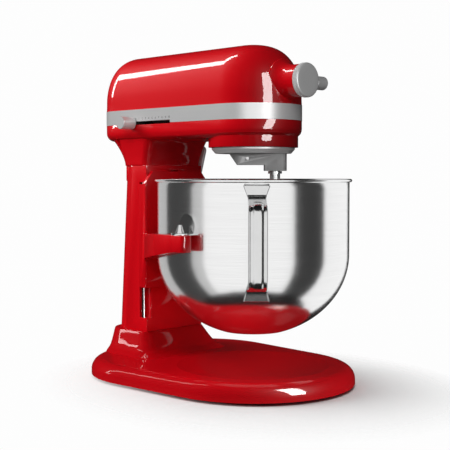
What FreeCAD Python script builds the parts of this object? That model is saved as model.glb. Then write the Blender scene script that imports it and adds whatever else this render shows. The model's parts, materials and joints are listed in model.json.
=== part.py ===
import FreeCAD, Part
import math
import os

# Bowl-lift stand mixer.  Millimetres, +Z up.  The origin lies on the floor under the bowl's
# axis; the attachment hub faces -Y and the column stands on the +Y side.

V = FreeCAD.Vector
Z_AXIS = V(0, 0, 1)
Y_AXIS = V(0, 1, 0)
X_AXIS = V(1, 0, 0)

# ---- driving dimensions -------------------------------------------------------------------
# base
BASE_FRONT_R = 127.0
BASE_REAR_R = 112.0
BASE_REAR_X = 23.0
BASE_REAR_Y = 115.0
FOOT_H = 3.5
FOOT_R = 10.0
FOOT_STEM_R = 3.0
FOOT_STEM_H = 9.0
PLATE_TOP = 24.0
BASE_EDGE_R = 15.0
BASE_WALL = 6.0
BASE_CEILING = 17.0
DISH_R = 95.0
DISH_DEPTH = 7.0
DISH_WEB = 4.0
SEAM_Z = 54.0
PEDESTAL_LIP = 4.0
PEDESTAL_LIP_R = 2.5
PEDESTAL_REAR_LEDGE = 8.0
PEDESTAL_FRONT_LEDGE = 1.5
PEDESTAL_CORNER_R = 12.0
FLARE_SPREAD = 25.0
FLARE_REACH = 34.0
FLARE_REAR = 1.5
FLARE_CORNER = 12.0
FLARE_REAR_CORNER = 18.6
# height and share of the flare's spread, from the seam down to the plate's edge
FLARE = ((54.0, 0.0), (50.0, 0.10), (45.0, 0.20), (37.0, 0.37), (29.0, 0.62), (23.0, 0.98), (17.0, 1.12),
         (12.0, 1.17))
PEDESTAL_TOP_WEB = 8.0
PEDESTAL_WALL = 6.5
FOOT_PLACES = ((0.0, -98.0), (92.0, -20.0), (-92.0, -20.0), (92.0, 150.0), (-92.0, 150.0))

# column
COL_HALF = 50.0
COL_FACE_HALF = 42.4
COL_FRONT = 145.0
COL_NOTCH_Y = 159.0
COL_NOTCH_Z = 72.0
COL_NOTCH_TOP = 251.0
COL_REAR_LOW = 216.6
COL_REAR_HIGH = 201.5
COL_CORNER_R = 30.0
COL_TOP = 273.0
COL_WALL = 4.0
ROD_X = 47.0
ROD_Y = 154.3
ROD_R = 2.5
ROD_SOCKET = 6.0
JOINT_SCREW_R = 2.5
JOINT_SCREW_HEAD_R = 4.5
JOINT_SCREW_HEAD_H = 4.0
JOINT_SCREW_GRIP = 12.0
COL_BOSS_R = 6.0
COL_BOSS_H = 20.0
COL_BOSS_X = 30.0
COL_BOSS_FRONT_Y = 157.0
COL_BOSS_REAR_Y = 186.0
CORD_HOLE_R = 6.0

# head
HEAD_HALF = 60.0
HEAD_REAR = 245.0
HEAD_CORNER_R = 48.0
HEAD_TOP = 419.0
HEAD_PROFILE = 2.55
HEAD_PROFILE_STEPS = 9
HEAD_CROWN_INSET = 46.0
HEAD_WALL = 3.5
BAND_Z = 326.8
BAND_H = 18.9
BAND_T = 2.0
BAND_PROUD = 0.3
HOUSING_SPLIT = 336.2
PAN_Z = 306.0
PAN_EDGE_R = 11.0
LEDGE_Z = 330.0
LEDGE_WALL = 8.0
FLOOR_Z = 308.0
FLOOR_T = 6.0
DRUM_R = 55.5
DRUM_TOP_R = 58.7
DRUM_STEP_Z = 311.0
DRUM_BOTTOM = 294.5
DRUM_BORE_R = 51.5
NECK_HALF = 50.5
NECK_REAR = 205.5
NECK_GROWTH = 1.6
NECK_SPREAD = 5.0
NECK_FRONT_SPREAD = 14.0
NECK_REAR_SPREAD = 25.0
NECK_CORNER_R = 10.0
NECK_PLATE_T = 8.0
POST_R = 5.0
POST_H = 24.0
POST_BITE = 1.0
POST_YS = (75.0, 196.0)
HEAD_SCREW_R = 2.0
HEAD_SCREW_HEAD_R = 3.6
HEAD_SCREW_HEAD_H = 3.0
HEAD_SCREW_BITE = 14.0
HEAD_SCREW_SEAT = 312.0
BOARD_Z = 317.0
BOARD_Y = 203.0
BOARD_L = 28.0
BOARD_HALF_X = 24.0

# speed control
SLOT_Z = 328.0
SLOT_H = 4.4
SLOT_Y0 = 87.0
SLOT_Y1 = 166.0
SPEED_TRAVEL = 65.0
SPEED_OFF_Y = 159.0
KNOB_R = 8.0
KNOB_TIP_X = 82.0
KNOB_GAP = 1.2
LEVER_T = 3.2
LEVER_W = 10.0
SWITCH_TOP = 320.0
SWITCH_GAP = 0.2
SWITCH_W = 9.0
SWITCH_GROOVE = 2.0
SLIDER_T = 5.0
SLIDER_GAP = 0.8

# attachment hub
HUB_Z = 372.0
HUB_R = 19.5
HUB_FACE = 79.5
HUB_INNER = 38.0
HUB_BORE_R = 13.5
HUB_BORE_DEPTH = 18.0
HUB_CAP_R = 20.5
HUB_CAP_T = 8.7
HUB_CAP_GAP = 0.3
HUB_MOUTH_R = 14.6
HUB_MOUTH_DEPTH = 5.5
HUB_PLUG_R = 14.3
HUB_PLUG_H = 5.2
HUB_SPINDLE_RECESS = 0.5
HUB_KNOB_Y = 70.0
HUB_KNOB_R = 8.3
HUB_KNOB_TIP = 50.0
HUB_KNOB_L = 19.0
HUB_SCREW_R = 3.0
HUB_BUSH_R = 10.0
HUB_SPINDLE_R = 7.0

# gear train
GEAR_MODULE = 1.5
ADDENDUM = 1.1
DEDENDUM = 1.7
TOOTH_SHARE = 0.42
RING_TEETH = 60
PLANET_TEETH = 24
GEAR_Z0 = 297.0
GEAR_W = 8.0
CENTRE_SHAFT_R = 6.0
CENTRE_TEETH = 62
PINION_TEETH = 20
CENTRE_GEAR_Z = 318.0
CENTRE_GEAR_W = 8.0
WEB_HOLES = 6
WEB_HOLE_R = 8.0
WEB_HOLE_PLACE = 27.0
LAY_SHAFT_X = -28.0
LAY_SHAFT_R = 4.0
WHEEL_TEETH = 30
WORM_STARTS = 3
WORM_ADDENDUM = 0.5
WORM_DEDENDUM = 1.9
WORM_TOOTH_SHARE = 0.30
RING_TOOTH_SHARE = 0.62
WHEEL_W = 8.0
BEVEL_CROWN_TEETH = 36
BEVEL_PINION_TEETH = 24
BEVEL_CROWN_R = 24.0
BEVEL_KEEP = 0.7
FRAME_T = 5.0
FRAME_GAP = 0.4
LAY_BUSH_WALL = 3.0
NOSE_HALF = 13.0
NOSE_GAP = 3.5
NOSE_BUSH_WALL = 4.0
FRAME_REAR = 68.0
FRAME_SCREW_R = 1.5
FRAME_SCREW_HEAD_R = 2.1
FRAME_SCREW_BITE = 8.0
NOSE_T = 6.0
WORM_L = 30.0
BEARING_R = 11.0
RUN_FIT = 0.05

# planetary
ARM_TURN = -45.3
CASTING_R = 45.8
CASTING_Z = 287.0
CASTING_TOP = 294.3
ARM_Z = 273.0
LEG_Z = 265.7
ARM_HALF = 15.0
ARM_TAIL = -30.0
ARM_TAIL_LOW = -20.0
LEG_FRONT = 14.0
LEG_REAR = 13.5
LEG_EDGE_R = 5.0
SET_SCREW_X = -7.4
DRIP_R = 51.5
DRIP_LOW_R = 47.0
DRIP_TOP = 294.0
AGITATOR_R = 6.4
AGITATOR_TIP = 214.0
CROSS_PIN_Z = 236.0
CROSS_PIN_R = 2.0
CROSS_PIN_HALF = 11.0
BEATER_SEAT_TOP = 233.4
SHAFT_NECK_TOP = 238.6
SHAFT_NECK_DEPTH = 0.35
SHAFT_CHAMFER = 1.2
COLLAR_R = 8.6
COLLAR_H = 3.2
BUSH_WALL = 2.6

# motor
MOTOR_Z = 363.0
STATOR_HALF = 36.0
STATOR_BORE_R = 24.0
STATOR_Y0 = 100.0
STATOR_L = 50.0
ROTOR_GAP = 0.8
MOTOR_SHAFT_R = 4.0
MOTOR_BUSH_WALL = 6.0
MOTOR_SHAFT_Y0 = 28.0
MOTOR_SHAFT_Y1 = 204.0
BRACKET_T = 5.0
FRONT_BRACKET_Y = 88.0
REAR_BRACKET_Y = 178.0
MOTOR_BOLT_OFFSET = 29.0
MOTOR_BOLT_R = 2.0
MOTOR_BOLT_HEAD_R = 3.6
MOTOR_BOLT_HEAD_H = 2.5
COMMUTATOR_R = 13.0
COMMUTATOR_Y0 = 156.0
COMMUTATOR_L = 14.0
FAN_R = 33.0
FAN_Y0 = 188.0
FAN_L = 10.0
FAN_BLADES = 12

# bowl
BOWL_R = 118.8
BOWL_RIM_R = 2.0
BOWL_RIM_Z = 253.8
BOWL_BEND_Z = 163.0
BOWL_DEPTH = 101.0
BOWL_WALL = 1.2
BOWL_FOOT_R = 40.0
HANDLE_TURN = 225.0
HANDLE_W = 21.0
HANDLE_T = 3.0
HANDLE_FLANGE_W = 30.0
HANDLE_REACH = 163.0
HANDLE_LOW = 118.0
HANDLE_HIGH = 250.0
GRIP_LOW = 145.0
GRIP_HIGH = 219.0
FLANGE_L = 15.0
TAB_T = 2.0
TAB_HALF = 12.0
TAB_TOP = 216.0
FLANGE_T = 2.2
REAR_PIN_Z = 205.0
REAR_PIN_R = 3.0
REAR_PIN_GAP = 2.2
FORK_T = 1.2
FORK_GAP = 2.2
FORK_HALF = 9.0
TAB_BITE = 3.0
FLANGE_LIFT = 0.2
FLANGE_NOSE_R = 11.0

# bowl carrier and lift
BLOCK_HALF = 57.0
BLOCK_TOP = 265.5
BLOCK_BOTTOM = 113.0
BLOCK_FRONT = 138.5
CHEEK_REAR = 148.7
LUG_OUT = 51.5
LUG_REAR = 158.5
BLOCK_CHAMFER_X = 14.5
BLOCK_CHAMFER_Z = 17.0
BLOCK_EDGE_R = 2.0
SLIDE_GAP = 0.5
ROD_GAP = 0.08
ARM_IN_R = 125.5
ARM_OUT_R = 141.0
ARM_END_Y = -23.5
ARM_TIP_R = 5.0
ARM_ROOT_TURN = 66.0
# plan of the arm's outer face, from the block's corner to the pad
ARM_CURVE = ((57.0, 142.0), (75.0, 119.5), (97.0, 94.5), (121.0, 57.5), (136.5, 20.0), (141.0, -4.0))
PAD_TOP = 191.6
PAD_BOTTOM = 172.7
ROOT_TOP = 184.0
ROOT_BOTTOM = 149.5
PIN_X = 131.0
PIN_Y = -8.0
PIN_STEM_R = 3.0
PIN_FOOT_H = 4.0
PIN_TIP_R = 2.2
PIN_STEM_BITE = 12.9
PIN_R = 4.8
PIN_H = 12.0
PIN_HOLE_GAP = 0.8
LIFT_TRAVEL = 38.0
LIFT_SHAFT_Y = 167.0
LIFT_SHAFT_Z = 238.0
LIFT_SHAFT_R = 5.0
LIFT_BUSH_WALL = 1.5
LIFT_BOSS_WALL = 4.5
LIFT_BOSS_PROUD = 1.5
LIFT_BOSS_INSIDE = 8.0
CRANK_PIN_R = 2.5
CRANK_X = 14.0
CRANK_T = 6.0
CRANK_EYE_WALL = 2.0
CRANK_HUB_WALL = 4.0
CRANK_WEB_HALF = 4.5
TONGUE_HALF = 5.0
TONGUE_SLOT_GAP = 1.3
TONGUE_SIDE_GAP = 2.0
SLOT_REACH = 10.0
TONGUE_RISE = 8.0
LIFT_LEVER_X = 55.2
LIFT_LEVER_T = 4.0
LIFT_LEVER_L = 65.0
LIFT_LEVER_W = 12.0
LEVER_HUB_WALL = 1.5
LIFT_LEVER_TILT = 17.0

# ---- values worked out from them ----------------------------------------------------------
PLANET_R = GEAR_MODULE * PLANET_TEETH / 2
RING_R = GEAR_MODULE * RING_TEETH / 2
AGITATOR_OFFSET = RING_R - PLANET_R
AGITATOR_X = AGITATOR_OFFSET * math.cos(math.radians(ARM_TURN))
AGITATOR_Y = AGITATOR_OFFSET * math.sin(math.radians(ARM_TURN))
CENTRE_R = GEAR_MODULE * CENTRE_TEETH / 2
PINION_R = GEAR_MODULE * PINION_TEETH / 2
LAY_SHAFT_Y = math.sqrt((CENTRE_R + PINION_R) ** 2 - LAY_SHAFT_X ** 2)
WHEEL_R = GEAR_MODULE * WHEEL_TEETH / 2
WORM_R = -LAY_SHAFT_X - WHEEL_R
WORM_LEAD = math.pi * GEAR_MODULE * WORM_STARTS
BEVEL_PINION_R = BEVEL_CROWN_R * BEVEL_PINION_TEETH / BEVEL_CROWN_TEETH
CRANK_R = LIFT_TRAVEL / math.sqrt(2)
CRANK_PIN_Y = LIFT_SHAFT_Y + CRANK_R / math.sqrt(2)
CRANK_PIN_Z = LIFT_SHAFT_Z + CRANK_R / math.sqrt(2)
FLOOR_TOP = FLOOR_Z + FLOOR_T
BAND_TOP = BAND_Z + BAND_H
POST_X = HEAD_HALF - HEAD_WALL - POST_R + POST_BITE
PINION_PHASE = math.pi / 2
PLANET_PHASE = math.radians(ARM_TURN)
LAY_ANGLE = math.atan2(LAY_SHAFT_Y, LAY_SHAFT_X)
CROWN_PHASE = -math.pi / 2 + math.pi / BEVEL_CROWN_TEETH


# ---- helpers ------------------------------------------------------------------------------
def block(x0, x1, y0, y1, z0, z1):
    """Box between two corners."""
    return Part.makeBox(x1 - x0, y1 - y0, z1 - z0, V(x0, y0, z0))


def rod(radius, start, end):
    """Round bar from one point to another."""
    run = end.sub(start)
    return Part.makeCylinder(radius, run.Length, start, run)


def post(radius, x, y, z0, z1):
    """Round bar that stands upright at a plan place between two heights."""
    return rod(radius, V(x, y, z0), V(x, y, z1))


def ring(inner, outer, x, y, z0, z1):
    """Upright round bar with a hole along it."""
    return tube(inner, outer, V(x, y, z0), V(x, y, z1))


def cross_rod(radius, x0, x1, y, z):
    """Round bar that lies along X."""
    return rod(radius, V(x0, y, z), V(x1, y, z))


def hub_rod(radius, y0, y1):
    """Round bar on the attachment hub's axis."""
    return rod(radius, V(0, y0, HUB_Z), V(0, y1, HUB_Z))


def tube(inner, outer, start, end):
    """Round bar with a hole along it."""
    run = end.sub(start)
    core = Part.makeCylinder(inner, run.Length + 2, start.sub(run.normalize()), run)
    return rod(outer, start, end).cut(core)


def fused(shapes):
    """One solid from pieces that overlap or touch."""
    whole = shapes[0].fuse(list(shapes[1:]))
    return whole.removeSplitter()


def polygon_wire(points):
    """Closed wire through points."""
    return Part.makePolygon(list(points) + [points[0]])


def prism(points, run):
    """Straight solid from a closed outline of points."""
    return Part.Face(polygon_wire(points)).extrude(run)


def both_sides(shape):
    """The shape and its mirror image across X = 0."""
    return [shape, shape.mirror(V(0, 0, 0), X_AXIS)]


def turned(shape, degrees, centre=V(0, 0, 0), axis=Z_AXIS):
    """Copy of a shape turned about an axis."""
    copy = shape.copy()
    copy.rotate(centre, axis, degrees)
    return copy


def arc_edge(start, middle, end):
    """Arc through three points."""
    return Part.Arc(start, middle, end).toShape()


def round_top_outline(half, rear, corner_r, z, shrink=0.0):
    """Head outline: a half circle at the front, straight sides and two rounded rear corners."""
    side = half - shrink
    back = rear - shrink
    corner = corner_r - shrink
    cx = side - corner
    cy = back - corner
    k = corner * math.sqrt(0.5)
    edges = [
        arc_edge(V(-side, 0, z), V(0, -side, z), V(side, 0, z)),
        Part.LineSegment(V(side, 0, z), V(side, cy, z)).toShape(),
        arc_edge(V(side, cy, z), V(cx + k, cy + k, z), V(cx, back, z)),
        Part.LineSegment(V(cx, back, z), V(-cx, back, z)).toShape(),
        arc_edge(V(-cx, back, z), V(-cx - k, cy + k, z), V(-side, cy, z)),
        Part.LineSegment(V(-side, cy, z), V(-side, 0, z)).toShape(),
    ]
    return Part.Wire(edges)


def head_prism(z0, z1, shrink=0.0):
    """Solid of the head's outline between two heights."""
    wire = round_top_outline(HEAD_HALF, HEAD_REAR, HEAD_CORNER_R, z0, shrink)
    return Part.Face(wire).extrude(V(0, 0, z1 - z0))


def level_edges(shape, z):
    """Edges that lie wholly at one height."""
    return [e for e in shape.Edges if abs(e.BoundBox.ZMin - z) < 0.01 and abs(e.BoundBox.ZMax - z) < 0.01]


def rounded_section(half, front, rear, front_r, rear_r, z):
    """Rounded rectangle across a pedestal or neck: four sides and four corner arcs."""
    f = front_r
    r = rear_r
    kf = f * (1 - math.sqrt(0.5))
    kr = r * (1 - math.sqrt(0.5))
    edges = [
        Part.LineSegment(V(-half + f, front, z), V(half - f, front, z)).toShape(),
        arc_edge(V(half - f, front, z), V(half - kf, front + kf, z), V(half, front + f, z)),
        Part.LineSegment(V(half, front + f, z), V(half, rear - r, z)).toShape(),
        arc_edge(V(half, rear - r, z), V(half - kr, rear - kr, z), V(half - r, rear, z)),
        Part.LineSegment(V(half - r, rear, z), V(-half + r, rear, z)).toShape(),
        arc_edge(V(-half + r, rear, z), V(-half + kr, rear - kr, z), V(-half, rear - r, z)),
        Part.LineSegment(V(-half, rear - r, z), V(-half, front + f, z)).toShape(),
        arc_edge(V(-half, front + f, z), V(-half + kf, front + kf, z), V(-half + f, front, z)),
    ]
    return Part.Wire(edges)


def gear_points(teeth, root_r, tip_r, width, turn, z):
    """Outline of a gear with straight-sided teeth; width is a tooth's share of the pitch."""
    points = []
    pitch = 2 * math.pi / teeth
    for i in range(teeth):
        middle = turn + i * pitch
        for r, offset in ((root_r, -0.62), (tip_r, -0.34), (tip_r, 0.34), (root_r, 0.62)):
            a = middle + offset * width * pitch
            points.append(V(r * math.cos(a), r * math.sin(a), z))
    return points


def spur_gear(teeth, root_r, tip_r, width, turn, height, twist=0.0, steps=1):
    """Gear that stands on z = 0; a twist makes its teeth helical."""
    if twist == 0.0:
        return prism(gear_points(teeth, root_r, tip_r, width, turn, 0), V(0, 0, height))
    wires = []
    for i in range(steps + 1):
        share = i / steps
        points = gear_points(teeth, root_r, tip_r, width, turn + twist * share, height * share)
        wires.append(polygon_wire(points))
    return Part.makeLoft(wires, True, True)


def plain_gear(teeth, pitch_r, turn, height):
    """Straight-toothed gear of the train's tooth height on z = 0."""
    return spur_gear(teeth, pitch_r - DEDENDUM, pitch_r + ADDENDUM, TOOTH_SHARE, turn, height)


def bevel_gear(teeth, pitch_r, cone_height, width, turn):
    """Bevel gear with its apex at the origin and its large end at z = -cone_height."""
    wires = []
    for keep in (1.0, BEVEL_KEEP):
        root_r = (pitch_r - 1.8) * keep
        tip_r = (pitch_r + 0.8) * keep
        wires.append(polygon_wire(gear_points(teeth, root_r, tip_r, width, turn, -cone_height * keep)))
    return Part.makeLoft(wires, True, True)


def placed(shape, x, y, z):
    """Copy of a shape moved to a place."""
    copy = shape.copy()
    copy.translate(V(x, y, z))
    return copy


def along_y(shape):
    """Copy of a shape whose +Z end now points along +Y."""
    return turned(shape, -90, V(0, 0, 0), X_AXIS)


# ---- base ---------------------------------------------------------------------------------
def base_outline(z, shrink=0.0):
    """Plan of the base: a front arc about the bowl axis and two rear arcs, joined by tangents."""
    r1 = BASE_FRONT_R - shrink
    r2 = BASE_REAR_R - shrink
    gap = math.hypot(BASE_REAR_X, BASE_REAR_Y)
    lean = math.atan2(BASE_REAR_Y, BASE_REAR_X) - math.acos((r1 - r2) / gap)
    nx = math.cos(lean)
    ny = math.sin(lean)
    a = V(r1 * nx, r1 * ny, z)
    b = V(BASE_REAR_X + r2 * nx, BASE_REAR_Y + r2 * ny, z)
    half = (lean + math.pi / 2) / 2
    m = V(BASE_REAR_X + r2 * math.cos(half), BASE_REAR_Y + r2 * math.sin(half), z)
    c = V(BASE_REAR_X, BASE_REAR_Y + r2, z)
    far_a = V(-a.x, a.y, z)
    far_b = V(-b.x, b.y, z)
    far_c = V(-c.x, c.y, z)
    far_m = V(-m.x, m.y, z)
    edges = [
        arc_edge(far_a, V(0, -r1, z), a),
        Part.LineSegment(a, b).toShape(),
        arc_edge(b, m, c),
        Part.LineSegment(c, far_c).toShape(),
        arc_edge(far_c, far_m, far_b),
        Part.LineSegment(far_b, far_a).toShape(),
    ]
    return Part.Wire(edges)


def pedestal_block():
    """Flared pedestal: rounded sections that spread down into the plate's edge."""
    wires = []
    for z, share in FLARE:
        half = COL_HALF + PEDESTAL_LIP + FLARE_SPREAD * share
        front = COL_FRONT - PEDESTAL_FRONT_LEDGE - FLARE_REACH * share
        rear = COL_REAR_LOW + PEDESTAL_REAR_LEDGE + FLARE_REAR * share
        front_r = PEDESTAL_CORNER_R + FLARE_CORNER * share
        rear_r = COL_CORNER_R + FLARE_REAR_CORNER * share
        wires.append(rounded_section(half, front, rear, front_r, rear_r, z))
    flare = Part.makeLoft(wires, True, False)
    flare = flare.makeFillet(PEDESTAL_LIP_R, level_edges(flare, SEAM_Z))
    within = Part.Face(base_outline(FOOT_H)).extrude(V(0, 0, SEAM_Z))
    return flare.common(within)


def base_casting():
    """Hollow base plate with a dish in its top and a pedestal for the column."""
    plate = Part.Face(base_outline(FOOT_H)).extrude(V(0, 0, PLATE_TOP - FOOT_H))
    plate = plate.makeFillet(BASE_EDGE_R, level_edges(plate, PLATE_TOP))
    ball_r = (DISH_R ** 2 + DISH_DEPTH ** 2) / (2 * DISH_DEPTH)
    plate = plate.cut(Part.makeSphere(ball_r, V(0, 0, PLATE_TOP - DISH_DEPTH + ball_r)))
    body = fused([plate, pedestal_block()])
    hollow = Part.Face(base_outline(FOOT_H - 1, BASE_WALL)).extrude(V(0, 0, BASE_CEILING - FOOT_H + 1))
    web_z = PLATE_TOP - DISH_DEPTH - DISH_WEB
    web = Part.makeCylinder(DISH_R + 6, BASE_CEILING - web_z, V(0, 0, web_z))
    hollow = hollow.cut(web)
    for x, y in FOOT_PLACES:
        hollow = hollow.cut(post(FOOT_R, x, y, 0, BASE_CEILING))
    inner = rounded_section(COL_HALF - PEDESTAL_WALL, COL_FRONT + PEDESTAL_WALL - 3,
                            COL_REAR_LOW - PEDESTAL_WALL, 8, COL_CORNER_R - 8, FOOT_H - 1)
    pocket = Part.Face(inner).extrude(V(0, 0, SEAM_Z - PEDESTAL_TOP_WEB - FOOT_H + 1))
    body = body.cut(hollow).cut(pocket)
    for x, y in joint_screw_places():
        body = body.cut(post(JOINT_SCREW_R, x, y, PLATE_TOP, SEAM_Z + 1))
    for x, y in FOOT_PLACES:
        body = body.cut(post(FOOT_STEM_R, x, y, 0, FOOT_H + FOOT_STEM_H))
    wire_hole = post(6, 0, 180, PLATE_TOP, SEAM_Z + 1)
    return body.cut(wire_hole)


def rubber_feet():
    """Round feet with stems pressed into the base."""
    feet = []
    for x, y in FOOT_PLACES:
        pad = post(FOOT_R, x, y, 0, FOOT_H)
        pad = pad.makeFillet(1.0, level_edges(pad, 0))
        stem = post(FOOT_STEM_R, x, y, FOOT_H, FOOT_H + FOOT_STEM_H)
        feet.append(fused([pad, stem]))
    return Part.makeCompound(feet)


def joint_screw_places():
    """Plan places of the screws that join the column to the pedestal and to the neck."""
    places = []
    for x in (-COL_BOSS_X, COL_BOSS_X):
        for y in (COL_BOSS_FRONT_Y, COL_BOSS_REAR_Y):
            places.append((x, y))
    return places


def joint_screw(x, y, z, up):
    """Screw whose head bears at height z; its shank goes up or down."""
    way = 1 if up else -1
    head = post(JOINT_SCREW_HEAD_R, x, y, z, z - way * JOINT_SCREW_HEAD_H)
    shank = rod(JOINT_SCREW_R, V(x, y, z), V(x, y, z + way * (PEDESTAL_TOP_WEB + JOINT_SCREW_GRIP)))
    socket = post(1.8, x, y, z - way * JOINT_SCREW_HEAD_H, z - way * 1.5)
    return fused([head, shank]).cut(socket)


def column_screws():
    """Screws from the pedestal's pocket up into the column, and from the neck's floor down into it."""
    lower = SEAM_Z - PEDESTAL_TOP_WEB
    upper = COL_TOP + NECK_PLATE_T
    screws = [joint_screw(x, y, lower, True) for x, y in joint_screw_places()]
    screws += [joint_screw(x, y, upper, False) for x, y in joint_screw_places()]
    return Part.makeCompound(screws)


# ---- column -------------------------------------------------------------------------------
def column_section(z, shrink):
    """Plan of the column at a height: a narrower front step, wide sides and rounded rear corners."""
    share = (z - SEAM_Z) / (COL_TOP - SEAM_Z)
    rear = COL_REAR_LOW + share * (COL_REAR_HIGH - COL_REAR_LOW) - shrink
    half = COL_HALF - shrink
    face = COL_FACE_HALF - shrink
    front = COL_FRONT + shrink
    step = COL_NOTCH_Y + shrink
    r = COL_CORNER_R - shrink
    k = r * (1 - math.sqrt(0.5))
    points = [V(-half, rear - r, z), V(-half, step, z), V(-face, step, z), V(-face, front, z),
              V(face, front, z), V(face, step, z), V(half, step, z), V(half, rear - r, z)]
    edges = [Part.LineSegment(p, q).toShape() for p, q in zip(points[:-1], points[1:])]
    edges.append(arc_edge(V(half, rear - r, z), V(half - k, rear - k, z), V(half - r, rear, z)))
    edges.append(Part.LineSegment(V(half - r, rear, z), V(-half + r, rear, z)).toShape())
    edges.append(arc_edge(V(-half + r, rear, z), V(-half + k, rear - k, z), V(-half, rear - r, z)))
    return Part.Wire(edges)


def column_casting():
    """Hollow column with rod notches at its front corners and a slot for the lift tongue."""
    outer = Part.makeLoft([column_section(SEAM_Z, 0), column_section(COL_TOP, 0)], True, True)
    inner_ends = [column_section(z, COL_WALL) for z in (SEAM_Z, COL_TOP)]
    inner = Part.makeLoft(inner_ends, True, True)
    shell = outer.cut(inner)
    additions = []
    for side in (-1, 1):
        x0 = min(side * COL_FACE_HALF, side * COL_HALF)
        x1 = max(side * COL_FACE_HALF, side * COL_HALF)
        additions.append(block(x0, x1, COL_FRONT, COL_NOTCH_Y, SEAM_Z, COL_NOTCH_Z))
        additions.append(block(x0, x1, COL_FRONT, COL_NOTCH_Y, COL_NOTCH_TOP, COL_TOP))
    for x, y in joint_screw_places():
        for z in (SEAM_Z, COL_TOP - COL_BOSS_H):
            boss = post(COL_BOSS_R, x, y, z, z + COL_BOSS_H)
            additions.append(boss)
            reach = COL_HALF - COL_WALL + 1 if y > COL_NOTCH_Y else COL_FACE_HALF - COL_WALL + 1
            sign = 1 if x > 0 else -1
            x0 = min(x, sign * reach)
            x1 = max(x, sign * reach)
            additions.append(block(x0, x1, y - 3, y + 3, z, z + COL_BOSS_H))
    inside = CRANK_X + CRANK_T + LIFT_BOSS_INSIDE
    outside = COL_HALF + LIFT_BOSS_PROUD
    bearing = cross_rod(LIFT_SHAFT_R + LIFT_BOSS_WALL, inside, outside, LIFT_SHAFT_Y, LIFT_SHAFT_Z)
    additions.append(bearing)
    body = fused([shell] + additions)
    bush_r = LIFT_SHAFT_R + LIFT_BUSH_WALL
    body = body.cut(cross_rod(bush_r, CRANK_X, outside + 1, LIFT_SHAFT_Y, LIFT_SHAFT_Z))
    body = body.cut(block(COL_FACE_HALF, outside + 1, COL_FRONT, COL_NOTCH_Y, COL_NOTCH_Z, COL_NOTCH_TOP))
    for x, y in joint_screw_places():
        grip = JOINT_SCREW_GRIP + 1
        body = body.cut(post(JOINT_SCREW_R, x, y, SEAM_Z - 1, SEAM_Z + grip))
        body = body.cut(post(JOINT_SCREW_R, x, y, COL_TOP + 1, COL_TOP - grip))
    for side in (-1, 1):
        rod_low = COL_NOTCH_Z - ROD_SOCKET
        body = body.cut(post(ROD_R, side * ROD_X, ROD_Y, rod_low, COL_NOTCH_TOP + ROD_SOCKET))
    slot_half = TONGUE_HALF + TONGUE_SIDE_GAP
    slot_low = CRANK_PIN_Z - LIFT_TRAVEL - SLOT_REACH
    slot_high = CRANK_PIN_Z + SLOT_REACH
    slot = block(-slot_half, slot_half, COL_FRONT - 1, COL_FRONT + COL_WALL + 1, slot_low, slot_high)
    body = body.cut(slot)
    gland_z = SEAM_Z + 30
    return body.cut(rod(CORD_HOLE_R, V(0, 190, gland_z), V(0, 230, gland_z)))


def cord_gland():
    """Moulded bush in the column's rear wall, where the supply lead enters."""
    z = SEAM_Z + 30
    wall = COL_REAR_LOW - (COL_REAR_LOW - COL_REAR_HIGH) * 30 / (COL_TOP - SEAM_Z)
    collar = rod(9, V(0, wall + 0.8, z), V(0, wall + 4, z))
    barrel = rod(CORD_HOLE_R, V(0, wall - COL_WALL - 4, z), V(0, wall + 4, z))
    nut = tube(CORD_HOLE_R, 9, V(0, wall - COL_WALL - 4, z), V(0, wall - COL_WALL - 1, z))
    return fused([collar, barrel, nut]).cut(rod(3.6, V(0, wall - 20, z), V(0, wall + 10, z)))


def guide_rods():
    """Polished rods in the column's front notches; the bowl carrier slides on them."""
    rods = [post(ROD_R, side * ROD_X, ROD_Y, COL_NOTCH_Z - ROD_SOCKET, COL_NOTCH_TOP + ROD_SOCKET)
            for side in (-1, 1)]
    return Part.makeCompound(rods)


# ---- head ---------------------------------------------------------------------------------
def neck_block():
    """Neck that spreads upwards into the head's underside."""
    wires = []
    steps = 5
    for i in range(steps + 1):
        share = i / steps
        z = COL_TOP + share * (FLOOR_Z + 2 - COL_TOP)
        spread = share ** NECK_GROWTH
        half = NECK_HALF + NECK_SPREAD * spread
        front = COL_FRONT - NECK_FRONT_SPREAD * spread
        rear = NECK_REAR + NECK_REAR_SPREAD * spread
        rear_r = COL_CORNER_R + NECK_SPREAD * spread
        wires.append(rounded_section(half, front, rear, NECK_CORNER_R, rear_r, z))
    return Part.makeLoft(wires, True, False)


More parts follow.
